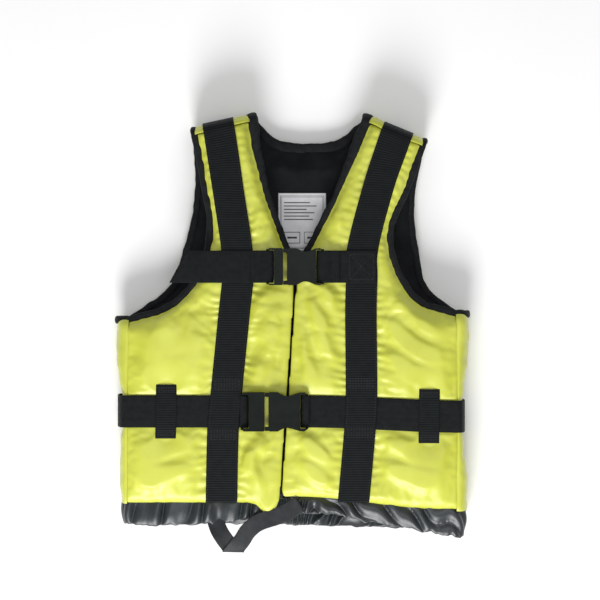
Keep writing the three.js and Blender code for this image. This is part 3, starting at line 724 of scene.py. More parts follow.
def folds(p, ridges):
    """Soft ridges with a shallow valley beside each, where slack cloth is pulled between its seams."""
    rise = np.zeros(len(p))
    for start, end, width, height in ridges:
        a, b = lay(*start), lay(*end)
        line = np.array([a, (a + b) / 2 + (b - a)[::-1] * np.array([0.06, -0.06]), b])
        d, s = line_distance(p, line)
        length = np.linalg.norm(np.diff(line, axis=0), axis=1).sum()
        ends = smoothstep(s, 0, length * 0.35) * (1 - smoothstep(s, length * 0.65, length))
        rise += height * ends * (np.exp(-(d / width) ** 2) - 0.45 * np.exp(-((d - 1.7 * width) / width) ** 2))
    return rise


def opening_walls(points, side):
    """The two front edges bulge till they nearly meet, and leave the zip its room below."""
    edge = laid_line(np.array([[0, y] for y in np.linspace(V_NECK_Y - 13, BOTTOM_Y, 24)]), side)
    centre_x = np.interp(points[:, 1], edge[::-1, 1], edge[::-1, 0])
    away = side * (points[:, 0] - centre_x)
    lip = near(np.maximum(0, away - FRONT_GAP / 2), 15)
    lip *= smoothstep(points[:, 2], FRONT_MID + 6, FRONT_MID + 13)
    lip *= 1 - near(np.maximum(0, np.abs(points[:, 1] - SHIFT_Y - BELT_Y) - 34), 14)
    points[:, 2] += 1.3 * lip * (1 - smoothstep(points[:, 1], SHIFT_Y + 20, SHIFT_Y + 60))
    reach = smoothstep(points[:, 2], 72.5, 75)
    bulge = (1.9 + 3.2 * reach) * near(np.maximum(0, away - FRONT_GAP / 2), 13)
    bulge *= 1 - smoothstep(points[:, 1], SHIFT_Y + 96, SHIFT_Y + 108)
    limit = 3.1 - 2.5 * reach
    inside = points[:, 1] < SHIFT_Y + 104
    away = np.where(inside, np.maximum(away - bulge, limit), away)
    points[:, 0] = centre_x + side * away


def hem_line(x, side):
    """How far below its straight edge each front's yellow cloth hangs at the hem."""
    if side < 0:
        return -1 - 17 * np.exp(-((x + 38) / 15) ** 2) + 14 * np.exp(-((x + 3) / 11) ** 2)
    return 8 - 19 * smoothstep(x, 8, 230)


def front_pad(side, name, seed):
    flat = np.concatenate([FRONT_ARMHOLE, FRONT_NECK, FRONT_EDGE, [[SEAM_X, BOTTOM_Y]]])
    edges = front_edges(side)
    obj = slab(name + "_pad", laid_line(flat, side), FRONT_LOW, FRONT_TOP, 4.4)
    p = read_points(obj)
    lower_half = p[:, 2] < FRONT_MID - 6
    p[:, 2] = FRONT_MID + (p[:, 2] - FRONT_MID) * edge_factor(p, edges) * PAD_FULL
    write_points(obj, p)
    held = np.maximum(np.maximum(strap_hold(p), edge_hold(p, edges)), np.where(lower_half, 1.0, 0.0))
    swell(obj, held, seed)
    finer(obj)
    p = read_points(obj)
    n = normals(obj)
    upper = smoothstep(p[:, 2], FRONT_MID + 2, FRONT_MID + 11)
    open_cloth = 1 - strap_hold(p)
    rise = 1.5 * field(p[:, :2], 95, seed) + 0.28 * field(p[:, :2] * [0.5, 1], 30, seed + 1) * open_cloth
    rise += 1.9 * folds(p, LEFT_FOLDS if side > 0 else RIGHT_FOLDS) * open_cloth + puckers(p, seed + 2)
    inner = smoothstep(plan_gap(p, edges), 2, 16)
    p += n * (rise * upper * inner)[:, None]
    top = upper > 0
    roof = front_ceiling(p)
    over = np.maximum(0, p[:, 2] - roof + STRAP_SLACK)
    p[top, 2] -= (over - STRAP_SLACK * (1 - np.exp(-over / STRAP_SLACK)))[top]
    p[:, 2] = np.where(top, np.minimum(p[:, 2], roof), p[:, 2])
    p[:, 2] = np.maximum(p[:, 2], BACK_TOP + 9)
    opening_walls(p, side)
    bottom = 1 - smoothstep(p[:, 1], BOTTOM_Y + SHIFT_Y, BOTTOM_Y + SHIFT_Y + 45)
    p[:, 1] += bottom * hem_line(p[:, 0], side)
    write_points(obj, p)
    cover = (name + "_cover", name + "_front_cover", name + "_front_foam")
    split_pad(obj, 1, FRONT_MID, 0.35, cover, (name + "_lining", name + "_front_lining"))


# ---- the back: yellow outside, black lining inside ----
def back_outline():
    half = np.concatenate([[[SEAM_X, BOTTOM_Y]], BACK_ARMHOLE, BACK_NECK[:-1]])
    middle = lay(0, BACK_NECK[-1, 1])
    hem = [lay(x, BOTTOM_Y) for x in np.linspace(-SEAM_X, SEAM_X, 9)[1:-1]]
    return np.concatenate([laid_line(half, 1), [middle], laid_line(half, -1)[::-1], hem])


def back_edges():
    hem = np.array([[0, BOTTOM_Y], [SEAM_X, BOTTOM_Y]])
    classes = ((BACK_NECK, 18, 0.25), (BACK_ARMHOLE, 18, 0.25), (hem, 15, 0.35), (SEAM, 14, 0.82),
               (CREST, 6, 0.97))
    return [(laid_line(line, side), radius, end) for line, radius, end in classes for side in (-1, 1)]


def label_ceiling(p):
    """The lining lies flat under the label sewn to it."""
    corner, top = low("size_label"), high("size_label")
    dx = np.maximum(0, np.maximum(corner.x - p[:, 0], p[:, 0] - top.x))
    dy = np.maximum(0, np.maximum(corner.y - p[:, 1], p[:, 1] - top.y))
    return corner.z - 0.8 + 8 * (1 - np.exp(-np.hypot(dx, dy) / 25))


def back_pad(seed=40):
    edges = back_edges()
    obj = slab("back_pad", back_outline(), BACK_LOW, BACK_TOP, 5.2)
    p = read_points(obj)
    p[:, 2] = BACK_MID + (p[:, 2] - BACK_MID) * edge_factor(p, edges) * PAD_FULL
    write_points(obj, p)
    under = p[:, 2] < BACK_MID
    hold_back = np.zeros(len(p))
    for line in web_lines() + [belt_line()]:
        hold_back = np.maximum(hold_back, 1 - smoothstep(line_distance(p, line)[0], 21, 29))
    held = np.maximum(np.where(under, hold_back, 0.0), edge_hold(p, edges))
    swell(obj, held, seed, cap=7.0)
    finer(obj)
    p = read_points(obj)
    n = normals(obj)
    inner = smoothstep(plan_gap(p, edges), 2, 16)
    rise = 1.1 * field(p[:, :2], 80, seed) + 0.5 * field(p[:, :2] * [1, 0.6], 28, seed + 1)
    rise += puckers(p, seed + 3) * (n[:, 2] < 0)
    p += n * (rise * inner * smoothstep(np.abs(p[:, 2] - BACK_MID), 2, 9))[:, None]
    ground = back_floor(p)
    below = np.maximum(0, ground + STRAP_SLACK - p[:, 2])
    p[:, 2] += below - STRAP_SLACK * (1 - np.exp(-below / STRAP_SLACK))
    p[:, 2] = np.minimum(np.maximum(p[:, 2], ground), BACK_TOP + 7)
    p[:, 2] = np.minimum(p[:, 2], label_ceiling(p))
    write_points(obj, p)
    cover = ("back_outer_cover", "back_cover", "back_foam")
    split_pad(obj, -1, BACK_MID, 0.3, cover, ("back_inner_lining", "back_lining"))


# ---- the cloth that joins front and back at the sides and over the shoulders ----
def cloth_band(name, rows, material, thickness=1.0, upward=False):
    """A closed thin cloth whose outer face runs through a grid of points."""
    grid = np.asarray(rows, float)
    u = np.gradient(grid, axis=0)
    v = np.gradient(grid, axis=1)
    face = unit(np.cross(u, v))
    middle = grid.reshape(-1, 3).mean(0)
    outward = face[..., 2].sum() if upward else ((grid - middle) * face).sum()
    if outward < 0:
        face = -face
    count, across = grid.shape[:2]
    points = np.concatenate([grid.reshape(-1, 3), (grid - face * thickness).reshape(-1, 3)])
    half = count * across
    faces = []
    for i in range(count - 1):
        for j in range(across - 1):
            a, b, c, d = i * across + j, i * across + j + 1, (i + 1) * across + j + 1, (i + 1) * across + j
            faces.append((a, b, c, d))
            faces.append((half + d, half + c, half + b, half + a))
    ring = [i * across for i in range(count)] + [(count - 1) * across + j for j in range(1, across)]
    ring += [i * across + across - 1 for i in range(count - 2, -1, -1)] + list(range(across - 2, 0, -1))
    for a, b in zip(ring, ring[1:] + ring[:1]):
        faces.append((a, b, half + b, half + a))
    obj = new_object(name, points, faces, material)
    fix_normals(obj)
    return obj


def rounded(d, radius, end):
    t = 1 - np.clip(d / radius, 0, 1)
    return end + (1 - end) * np.sqrt(1 - t * t)


SIDE_HALF = high("right_side_panel").z - MID_Z
SIDE_BULGE_UPPER = -SEAM_X - low("right_side_panel").x - 0.3
SIDE_BULGE_LOWER = 8.4


def side_top(side):
    """The pattern height where a side's cloth ends under the arm."""
    return lay(side * SEAM_X, SIDE_TOP_Y)[1] - SHIFT_Y


def side_panel(side, name, seed):
    rows = []
    bottom = BOTTOM_Y - (14 if side > 0 else 2)
    top, belt_y = side_top(side), BELT_Y - belt_drop(side * SEAM_X)
    turn = np.linspace(-1.16, 1.16, 37) * math.pi / 2
    for y in np.linspace(bottom, top + 2, 99):
        bulge = SIDE_BULGE_LOWER + (SIDE_BULGE_UPPER - SIDE_BULGE_LOWER) * float(smoothstep(y, -100, -20))
        belt = float(near(max(0.0, abs(y - belt_y) - 25), 16))
        bulge += (6.0 if side > 0 else 0.0) * float(1 - smoothstep(y, -240, -185))
        open_part = smoothstep(y, BOTTOM_Y, BOTTOM_Y + 30) * (1 - smoothstep(y, -30, 8))
        bulge += 2.6 * (1 - belt) * float(open_part)
        half = SIDE_HALF * float(rounded(top - y, 22, 0.72)) * float(rounded(y - bottom + 1, 14, 0.9))
        out = side * (SEAM_X + 0.3 + bulge * np.cos(turn))
        rows.append(np.stack([out, np.full(len(turn), y + SHIFT_Y), MID_Z + half * np.sin(turn)], 1))
    grid = np.array(rows)
    flat = grid.reshape(-1, 3)
    ease = np.sin(np.linspace(0, math.pi, 37))[None, :, None] ** 0.5
    belt = near(np.maximum(0, np.abs(grid[..., 1:2] - SHIFT_Y - belt_y) - 25), 10)
    wrinkle = 0.8 * field(flat, 50, seed) + 0.7 * field(flat * [1, 1, 0.3], 18, seed + 1)
    wrinkle = wrinkle.reshape(*grid.shape[:2], 1)
    grid[..., 0:1] += side * (wrinkle * ease * (1 - belt) - 0.5 * belt)
    obj = finer(cloth_band(name + "_side_gusset", grid, YELLOW))
    settle(obj, "yellow_coated_nylon", name + "_side_panel")


def shoulder_point(side, x, u, z):
    """A point beyond the panels' top edges, u further out along the shoulder's own direction."""
    slope = unit(np.array([SHOULDER_SLOPE, 1.0]))
    start = 0.3 + u
    flat = lay(side * (x + slope[0] * start), panel_top(x) + slope[1] * start)
    return np.array([flat[0], flat[1], z])


BAND_BULGE = SHOULDER_RISE - 0.6 - THICK
BAND_HALF = (FRONT_TOP - BACK_LOW) / 2


def shoulder_band(side, name, seed):
    rows = []
    for x in np.linspace(SHOULDER_INNER, SHOULDER_OUTER, 31):
        from_end = min(x - SHOULDER_INNER, SHOULDER_OUTER - x)
        half = BAND_HALF * float(rounded(from_end, 20, 0.66))
        bulge = BAND_BULGE * float(rounded(from_end, 12, 0.75))
        row = []
        for a in np.linspace(-math.pi / 2, math.pi / 2, 45):
            crease = 0.9 * math.exp(-((math.degrees(a) - 52) / 5) ** 2)
            z = MID_Z + (half - crease) * math.sin(a)
            row.append(shoulder_point(side, x, (bulge - crease) * math.cos(a), z))
        rows.append(row)
    grid = np.array(rows)
    wrinkle = 0.35 * field(grid.reshape(-1, 3), 24, seed).reshape(*grid.shape[:2])
    grid[..., 1] -= np.abs(wrinkle)
    obj = finer(cloth_band(name + "_shoulder_cloth", grid, YELLOW))
    settle(obj, "yellow_coated_nylon", name + "_shoulder_band")


# ---- edge bindings ----
def binding_profile(width, height):
    """A folded tape wrapped over an edge: a soft rounded section with a flat top and bottom."""
    angles = np.linspace(0, 2 * math.pi, 16, endpoint=False)
    c, s = np.cos(angles), np.sin(angles)
    out = np.sign(c) * np.abs(c) ** 0.7 * width / 2
    up = np.sign(s) * np.abs(s) ** 0.75 * height / 2
    return np.stack([out, up], 1)


def binding(name, points, sideways, closed, seed, nodes):
    """One binding swept along an edge: it puckers slightly where it is stretched round a curve."""
    packed = even(np.concatenate([points, sideways], 1), 2.6)
    if closed:
        packed = packed[:-1]
    at, out = packed[:, :3], packed[:, 3:6]
    along = np.roll(at, -1, 0) - np.roll(at, 1, 0) if closed else np.gradient(at, axis=0)
    along = unit(along)
    swell_here = smoothstep(at[:, 1], SHIFT_Y + 200, SHIFT_Y + 290)[:, None] * (0 if closed else 1)
    out = unit(out - along * (out * along).sum(1, keepdims=True))
    up = np.cross(along, out)
    pulse = 1 + 0.06 * field(at, 14, seed) + 0.04 * field(at, 45, seed + 1)
    section = binding_profile(BINDING, 9.0)[None] * pulse[:, None, None]
    section[..., 0] *= 1 + 0.4 * swell_here
    at = at + out * (0.5 * field(at, 30, seed + 2))[:, None] + out * 3.0 * swell_here
    obj = finer(sweep(name, at, out, up, section, BIND, closed))
    settle(obj, "black_webbing", *nodes)


def edge_frames(flat, side, z):
    """Row points along a laid edge at one level, with the direction that looks across it in plan."""
    p = laid_line(flat, side)
    t = unit(np.gradient(p, axis=0))
    across = np.stack([t[:, 1], -t[:, 0]], 1)
    return np.column_stack([p, np.full(len(p), z)]), np.column_stack([across, np.zeros(len(p))])


def over_shoulder(side, x):
    """The turn that an edge makes over the shoulder, from the front's level to the back's."""
    half, middle = (FRONT_MID - BACK_MID) / 2, (FRONT_MID + BACK_MID) / 2
    angles = np.linspace(math.pi / 2, -math.pi / 2, 15)[1:-1]
    return np.array([shoulder_point(side, x, 0.75 * BAND_BULGE * math.cos(a), middle + half * math.sin(a))
                     for a in angles])


def constant(rows, vector):
    return np.repeat(np.array([vector], float), rows, 0)


def neck_binding():
    """One binding from the foot of the V up, over each shoulder and round the back of the neck."""
    points, outs = [], []
    for side in (-1, 1):
        front, front_out = edge_frames(FRONT_NECK[::-1], side, FRONT_MID)
        back, back_out = edge_frames(BACK_NECK, side, BACK_MID)
        turn = over_shoulder(side, SHOULDER_INNER)
        front_out *= -np.sign(front_out[-1, 0] * side)
        back_out *= np.sign(back_out[-2, 1])
        foot = np.array([[*lay(side * (FRONT_GAP / 2 + 1.5), V_NECK_Y - 10), FRONT_MID]])
        piece = np.concatenate([foot, front, turn, back[:-1]])
        out = np.concatenate([front_out[:1], front_out, constant(len(turn), [-side, 0.3, 0]), back_out[:-1]])
        if side > 0:
            piece, out = piece[::-1], out[::-1]
        points.append(piece)
        outs.append(out)
    middle = np.array([[*lay(0, BACK_NECK[-1, 1]), BACK_MID]])
    all_points = np.concatenate([points[0], middle, points[1]])
    all_outs = np.concatenate([outs[0], [[0, 1, 0]], outs[1]])
    nodes = ("right_neck_binding", "left_neck_binding", "back_neck_binding")
    binding("neck_edge_binding", all_points, all_outs, False, 61, nodes)


def armhole_binding(side, name, seed):
    """One closed loop: front armhole, over the shoulder, back armhole and across the side's top."""
    front, front_out = edge_frames(FRONT_ARMHOLE, side, FRONT_MID)
    back, back_out = edge_frames(BACK_ARMHOLE[::-1], side, BACK_MID)
    turn = over_shoulder(side, SHOULDER_OUTER)
    angles = np.linspace(-math.pi / 2, math.pi / 2, 17)[1:-1]
    half, middle = (FRONT_MID - BACK_MID) / 2, (FRONT_MID + BACK_MID) / 2
    under = [[side * (SEAM_X + SIDE_BULGE_UPPER * math.cos(a)), side_top(side) + SHIFT_Y + 1,
              middle + half * math.sin(a)] for a in angles]
    front_out *= np.sign(front_out[len(front_out) // 2, 0] * side)
    back_out *= np.sign(back_out[len(back_out) // 2, 0] * side)
    points = np.concatenate([front, turn, back, under, front[:1]])
    outs = np.concatenate([front_out, constant(len(turn), [side, 0.1, 0]), back_out,
                           constant(len(under), [0, 1, 0]), front_out[:1]])
    nodes = (name + "_armhole_binding", name + "_back_armhole_binding")
    binding(name + "_armhole_edge_binding", points, outs, True, seed, nodes)


# ---- sewing thread ----
def stitches(name, lines, length=3.0, gap=1.6, radius=0.32):
    """Rows of small raised stitches: each line is points and the way its surface faces."""
    points, faces = [], []
    ring = np.array([[math.cos(a), math.sin(a)] for a in np.linspace(0, 2 * math.pi, 6, endpoint=False)])
    shares = [(-0.5, 0.25, -0.5), (-0.3, 0.9, 0.1), (0.0, 1.0, 0.35), (0.3, 0.9, 0.1), (0.5, 0.25, -0.5)]
    for at, up in lines:
        packed = even(np.concatenate([at, up], 1), length + gap)
        for a, b in zip(packed[:-1], packed[1:]):
            middle, way = (a[:3] + b[:3]) / 2, unit(b[:3] - a[:3])
            face = unit(a[3:] + b[3:])
            side = unit(np.cross(way, face))
            start = len(points)
            for along, size, lift in shares:
                centre = middle + way * along * length + face * radius * lift
                for c, s in ring:
                    points.append(centre + (side * c + face * s * 0.7) * radius * size)
            for k in range(4):
                for j in range(6):
                    n = (j + 1) % 6
                    a0, a1 = start + k * 6 + j, start + k * 6 + n
                    faces.append((a0, a1, a1 + 6, a0 + 6))
            faces.append(tuple(range(start + 5, start - 1, -1)))
            faces.append(tuple(range(start + 24, start + 30)))
    obj = new_object(name, points, faces, THREAD)
    fix_normals(obj)
    settle(obj, "black_webbing")


# ---- the vertical webbings ----
def web_frames(side):
    """Centres, faces and across directions of a webbing: up the front, over the shoulder, down the back."""
    x, y = WEB_LINES[side][:, 0], WEB_LINES[side][:, 1]
    slant = SHOULDER_SLOPE * smoothstep(y, 205, panel_top(x))
    flat = lay(side * x, y)
    across = lay(side * (x + 1), y - slant) - lay(side * (x - 1), y + slant)
    rows = len(flat)
    front = np.column_stack([flat, np.full(rows, WEB_FRONT_Z)])
    back = np.column_stack([flat, np.full(rows, WEB_BACK_Z)])[::-1]
    side_in = np.column_stack([across, np.zeros(rows)])
    top_x = x[-1]
    reach, half = BAND_BULGE + 0.3 + THICK / 2, (WEB_FRONT_Z - WEB_BACK_Z) / 2
    middle = (WEB_FRONT_Z + WEB_BACK_Z) / 2
    way = shoulder_point(side, top_x, 1, 0) - shoulder_point(side, top_x, 0, 0)
    turn_across = shoulder_point(side, top_x + 1, 0, 0) - shoulder_point(side, top_x - 1, 0, 0)
    angles = np.linspace(math.pi / 2, -math.pi / 2, 19)[1:-1]
    turn = [shoulder_point(side, top_x, reach * math.cos(a), middle + half * math.sin(a)) for a in angles]
    face = [way * math.cos(a) / reach + np.array([0, 0, math.sin(a) / half]) for a in angles]
    centres = np.concatenate([front, turn, back])
    ups = np.concatenate([constant(rows, [0, 0, 1]), unit(face), constant(rows, [0, 0, -1])])
    outs = np.concatenate([side_in, constant(len(turn), turn_across), side_in[::-1]])
    return centres, ups, unit(outs)


def vertical_webbing(side, name):
    centres, ups, outs = web_frames(side)
    obj = ribbon(name + "_vertical_webbing", centres, ups, WEBBING - 2, RIBBED, outs)
    settle(obj, "black_webbing", name + "_webbing")
    seams = []
    for offset in (-WEBBING / 2 + 3.6, WEBBING / 2 - 3.6):
        line = centres + outs * offset + ups * (THICK / 2 - 0.14)
        seams.append((line, ups))
    stitches(name + "_webbing_stitches", seams)


def stitch_line(x0, y0, x1, y1, z):
    """A row of stitches that looks up."""
    return np.array([[x0, y0, z], [x1, y1, z]]), constant(2, [0, 0, 1])


def bartack(x, y, z, half_width, length, rows=7):
    """Dense rows of stitches across a webbing, closed at both ends."""
    low_y, left, right = y - length / 2, x - half_width, x + half_width
    lines = [stitch_line(left, low_y + length * k / (rows - 1), right, low_y + length * k / (rows - 1), z)
             for k in range(rows)]
    return lines + [stitch_line(end, low_y, end, y + length / 2, z) for end in (left, right)]


def box_and_cross(x, y, z, half_x, half_y):
    """The stitched square with two diagonals that sews a strap down."""
    spots = [(x + u * half_x, y + v * half_y) for u, v in ((-1, -1), (1, -1), (1, 1), (-1, 1))]
    pairs = ((0, 1), (1, 2), (2, 3), (3, 0), (0, 2), (1, 3))
    return [stitch_line(*spots[a], *spots[b], z) for a, b in pairs]


def webbing_bartacks():
    lines = []
    for side, levels in ((-1, (-89, -165)), (1, (-87, -162))):
        for y in levels:
            x = np.interp(y, WEB_LINES[side][:, 1], WEB_LINES[side][:, 0])
            at = lay(side * x, y)
            lines += bartack(at[0], at[1], WEB_FRONT_Z + THICK / 2 + 0.05, 19, 15)
    x = np.interp(CHEST_Y, WEB_LINES[1][:, 1], WEB_LINES[1][:, 0])
    at = lay(x, CHEST_Y)
    lines += box_and_cross(at[0], at[1], CHEST_Z + THICK / 2 + 0.05, 18, 19)
    stitches("webbing_bartacks", lines, length=3.4, gap=0.9, radius=0.38)


# ---- straps that carry the buckles ----
LOOP = 3.3
SLOT_FILL = 5.4
BAR_INSET = 2.0


def loop_stations(bar_x, strap_z, facing, fold):
    """Round a buckle's bar and back over itself, as (x, z, face x, face z)."""
    stations = []
    for a in np.linspace(-math.pi / 2, math.pi / 2, 13):
        x = bar_x + facing * (LOOP + SLOT_FILL) * math.cos(a)
        stations.append((x, strap_z + LOOP + LOOP * math.sin(a), facing * math.cos(a), math.sin(a)))
    settled = strap_z + THICK + 0.3
    if fold <= 14:
        return stations + [(bar_x - facing * fold, strap_z + 2 * LOOP, 0, 1)]
    back = ((7, strap_z + LOOP * 1.6), (14, settled + 0.3), (fold, settled))
    return stations + [(bar_x - facing * x, z, 0, 1) for x, z in back]


def follow(piece, y, z):
    """Bakes the strap's placement into its mesh."""
    y, z = (y + SHIFT_Y) * MM, z * MM
    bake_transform(piece)


def strap(name, stations, y, step, drop=0.0):
    """A strap whose width lies along Y, through (x, z, face x, face z) stations."""
    p = np.array(stations, float)
    centres = np.column_stack([p[:, 0], y + SHIFT_Y - drop * belt_drop(p[:, 0]), p[:, 1]])
    faces = np.column_stack([p[:, 2], np.zeros(len(p)), p[:, 3]])
    return ribbon(name, centres, faces, WEBBING - 1, HERRING, [0, 1, 0], step=step)


def chest_straps():
    bar = high("chest_strap_right").x - LOOP - THICK / 2
    tail = CHEST_X[0]
    stations = [(tail, CHEST_Z, 0, -1), (tail + 60, CHEST_Z, 0, -1), (bar - 8, CHEST_Z, 0, -1)]
    stations += loop_stations(bar, CHEST_Z, 1, 26)
    right = strap("chest_strap_buckle_end", stations, CHEST_Y, 2.2)
    p = read_points(right)
    height = (p[:, 1] - CHEST_Y - SHIFT_Y) / WEBBING + 0.5
    p[:, 0] += 27 * height * (1 - smoothstep(p[:, 0], tail, tail + 60))
    write_points(right, p)
    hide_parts("chest_strap_right")
    follow(right, CHEST_Y, CHEST_Z)
    bar = low("chest_strap_left").x + LOOP + THICK / 2
    stations = [(CHEST_X[1], CHEST_Z, 0, -1), (bar + 8, CHEST_Z, 0, -1)] + loop_stations(bar, CHEST_Z, -1, 26)
    left = strap("chest_strap_fixed_end", stations, CHEST_Y, 2.2)
    settle(left, "black_webbing", "chest_strap_left")


def wrap_stations(side, turns, lift=0.0):
    """The belt's way round a side, from the front's level to the back's, or part of it."""
    reach = SIDE_BULGE_LOWER + (6.0 if side < 0 else 2.2) + lift
    rise = (BELT_Z - BELT_BACK_Z) / 2
    middle = (BELT_Z + BELT_BACK_Z) / 2
    stations = []
    for a in turns:
        stations.append((side * (SEAM_X + 0.3 + reach * math.cos(a)), middle + rise * math.sin(a),
                         side * math.cos(a) / reach, math.sin(a) / rise))
    return stations


def waist_straps():
    strap_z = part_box("waist_buckle_male")[0].z / MM
    male_bar = low("waist_buckle_male").x + BAR_INSET
    female_bar = high("waist_buckle_female").x - BAR_INSET
    level = BELT_Z
    rim = strap_z - 1.3
    top = list(np.linspace(math.pi / 2, -math.pi / 2, 19))
    stations = loop_stations(male_bar, rim, 1, 3.5)[::-1]
    stations = [(x, z, -fx, -fz) for x, z, fx, fz in stations]
    run = [(male_bar - 10, level, 0, 1), (-SEAM_X + 20, level, 0, 1)]
    right = wrap_stations(-1, top)
    back = [(x, BELT_BACK_Z, 0, -1) for x in (-160, -60, 30, 85, 140, 200)]
    left = wrap_stations(1, top[::-1][:12])
    belt = strap("waist_belt_webbing", stations + run + right + back + left, BELT_Y, 2.6, 1)
    settle(belt, "black_webbing", "waist_belt")
    turn = wrap_stations(1, np.linspace(0.15, math.pi / 2, 12), 0.4)
    stations = [(x, z, -fx, -fz) for x, z, fx, fz in turn]
    stations += [(x, level, 0, -1) for x in (200, 140, 85, female_bar + 18)] + [(female_bar + 4, rim, 0, -1)]
    stations += loop_stations(female_bar, rim, -1, 3.5)
    run = strap("waist_belt_buckle_run", stations, BELT_Y, 2.6, 1)
    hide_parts("waist_belt_left_run")
    follow(run, BELT_Y, level)


def keeper(x, name):
    """A short band sewn down above and below the belt, which slides under it."""
    y0 = BELT_Y + SHIFT_Y - belt_drop(x)
    centres, faces = [], []
    for t in np.linspace(-1, 1, 25):
        lift = 0.55 * float(1 - smoothstep(abs(t), 0.55, 0.8))
        centres.append([x + 0.6 * t, y0 + t * KEEPER_HALF, FRONT_TOP + 0.55 + lift])
        faces.append([0.02 * t, 0, 1])
    obj = ribbon(name + "_keeper_loop", centres, faces, 31.5, RIBBED, [1, 0, 0], thick=1.4, step=2.5)
    settle(obj, "black_webbing", name + "_belt_keeper")
    lines = []
    for sign in (-1, 1):
        lines += bartack(x + 0.6 * sign, y0 + sign * 33.5, FRONT_TOP + 1.3, 12, 7, 4)
    stitches(name + "_keeper_stitches", lines, length=2.6, gap=0.8)


# ---- hem casing, its tape and the label ----
HEM_BOTTOM = [
    (-262, -302), (-225, -306), (-180, -305), (-120, -303), (-90, -300), (-45, -291), (-26, -291),
    (8, -288), (59, -287), (109, -299), (154, -306), (187, -312), (224, -319), (262, -325)]
HEM_TOP = -262.0


def hem_ring():
    """Points and outward ways round the vest at the hem, from the zip round the back to the zip."""
    front_z, back_z = FRONT_MID + 1.5, BACK_MID - 1.0
    corner, bulge = SEAM_X - 6, 10.5
    middle, rise = (front_z + back_z) / 2, (front_z - back_z) / 2
    zip_x = LEAN * (BOTTOM_Y - 15)
    turn = np.linspace(math.pi / 2, -math.pi / 2, 15)[1:-1]

    def bend(side, reach, angles):
        return [[side * (corner + reach * math.cos(a)), middle + rise * math.sin(a),
                 side * math.cos(a), math.sin(a)] for a in angles]

    points = [[zip_x - 6, front_z, 0, 1], [-corner, front_z, 0, 1]] + bend(-1, bulge, turn)
    points += [[-corner, back_z, 0, -1], [corner, back_z, 0, -1]] + bend(1, bulge + 5, turn[::-1])
    points += [[corner, front_z, 0, 1], [zip_x + 27, front_z, 0, 1]]
    packed = even(points, CASING_STEP)
    return packed[:, :2], unit(packed[:, 2:])


def hem_casing():
    """The gathered casing: a folded strip, full of small puffs, closed along its lower fold."""
    at, way = hem_ring()
    s = np.arange(len(at)) * CASING_STEP
    front = way[:, 1] > 0.3
    low_edge = np.interp(at[:, 0], *np.array(HEM_BOTTOM).T)
    low_edge = np.where(front, low_edge, np.interp(at[:, 0], [-262, 262], [-304, -318]))
    low_edge = low_edge + 1.2 * field(s[:, None], 34, 71) + 0.6 * field(s[:, None], 14, 72)
    ring = np.linspace(0, 2 * math.pi, 40, endpoint=False)
    down = (1 - np.cos(ring)) / 2
    outside = np.sin(ring)
    lean_right = smoothstep(at[:, 0], -40, 40)
    points = np.zeros((len(at), len(ring), 3))
    for j, (share, out) in enumerate(zip(down, outside)):
        y = HEM_TOP + (low_edge - HEM_TOP) * share
        slant = s + y * (0.25 - 1.25 * lean_right)
        phase = slant / CASING_PITCH + 0.45 * field(s[:, None], 80, 73)
        puff = np.abs(np.sin(math.pi * phase)) ** 0.75
        fine = np.abs(np.sin(math.pi * (slant * 1.1 / 8.5 + 0.5 * field(s[:, None], 40, 74)))) ** 0.8
        body = 3.4 * math.copysign(abs(out) ** 0.65, out)
        swelling = (8.0 * puff + 0.15 * fine - 4.4) * math.sin(math.pi * share) ** 0.6
        b = body + swelling + 0.35 * field(np.column_stack([s, y]), 26, 75)
        ends = np.minimum(1, np.minimum(s, s[-1] - s) / 5 + 0.35)
        points[:, j, 0] = at[:, 0] + way[:, 0] * b * ends
        points[:, j, 1] = y + SHIFT_Y
        points[:, j, 2] = np.maximum(at[:, 1] + way[:, 1] * b * ends, 0.8)
    rows, cols = points.shape[:2]
    faces = [(r * cols + c, r * cols + (c + 1) % cols, (r + 1) * cols + (c + 1) % cols, (r + 1) * cols + c)
             for r in range(rows - 1) for c in range(cols)]
    faces += [tuple(range(cols))[::-1], tuple((rows - 1) * cols + c for c in range(cols))]
    obj = new_object("hem_drawcord_casing", points.reshape(-1, 3), faces, CASING)
    fix_normals(obj)
    obj = finer(obj)
    settle(obj, "black_nylon", "hem_casing")


def hem_tape():
    """A flat tape end: it comes from under the casing, folds back on itself and curves up over the hem."""
    level, half = low("hem_tape").z + 0.8, 13.0
    down = spline([[-121, -284], [-112, -312], [-90, -343]], 12)
    back = spline([[-90, -343], [-77, -327], [-67, -312], [-50, -299], [-15, -287], [12, -271]], 30)
    centres, outs, ups = [], [], []

    def run(line, z, face, skip_start, skip_end):
        ways = unit(np.gradient(line, axis=0))
        for k in range(skip_start, len(line) - skip_end):
            centres.append([line[k, 0], line[k, 1] + SHIFT_Y, z[k]])
            outs.append([ways[k, 1] * face, -ways[k, 0] * face, 0])
            ups.append([0, 0, face])
        return ways

    ways = run(down, level - 9 * smoothstep(down[:, 1], -325, -290), 1, 0, 3)
    after = unit(np.gradient(back, axis=0))[0]
    fold = unit(ways[-1] + after)
    out = np.array([ways[-1][1], -ways[-1][0]])
    fold = fold * np.sign(fold @ out) / max(0.45, abs(ways[-1] @ np.array([-fold[1], fold[0]])))
    away = unit(ways[-1] - after)
    for turn in np.linspace(0, math.pi, 7):
        at = down[-1] + away * 1.4 * math.sin(turn)
        centres.append([at[0], at[1] + SHIFT_Y, level + (1 - math.cos(turn))])
        outs.append([fold[0], fold[1], 0])
        ups.append([away[0] * math.sin(turn), away[1] * math.sin(turn), math.cos(turn)])
    rise = level + 2 + 0.8 * np.sin(np.linspace(0, math.pi, len(back)))
    run(back, rise, -1, 5, 0)
    obj = sweep("hem_tape_loop", centres, outs, ups, strap_profile(2 * half, 1.3), TAPE)
    settle(obj, "black_nylon", "hem_tape")


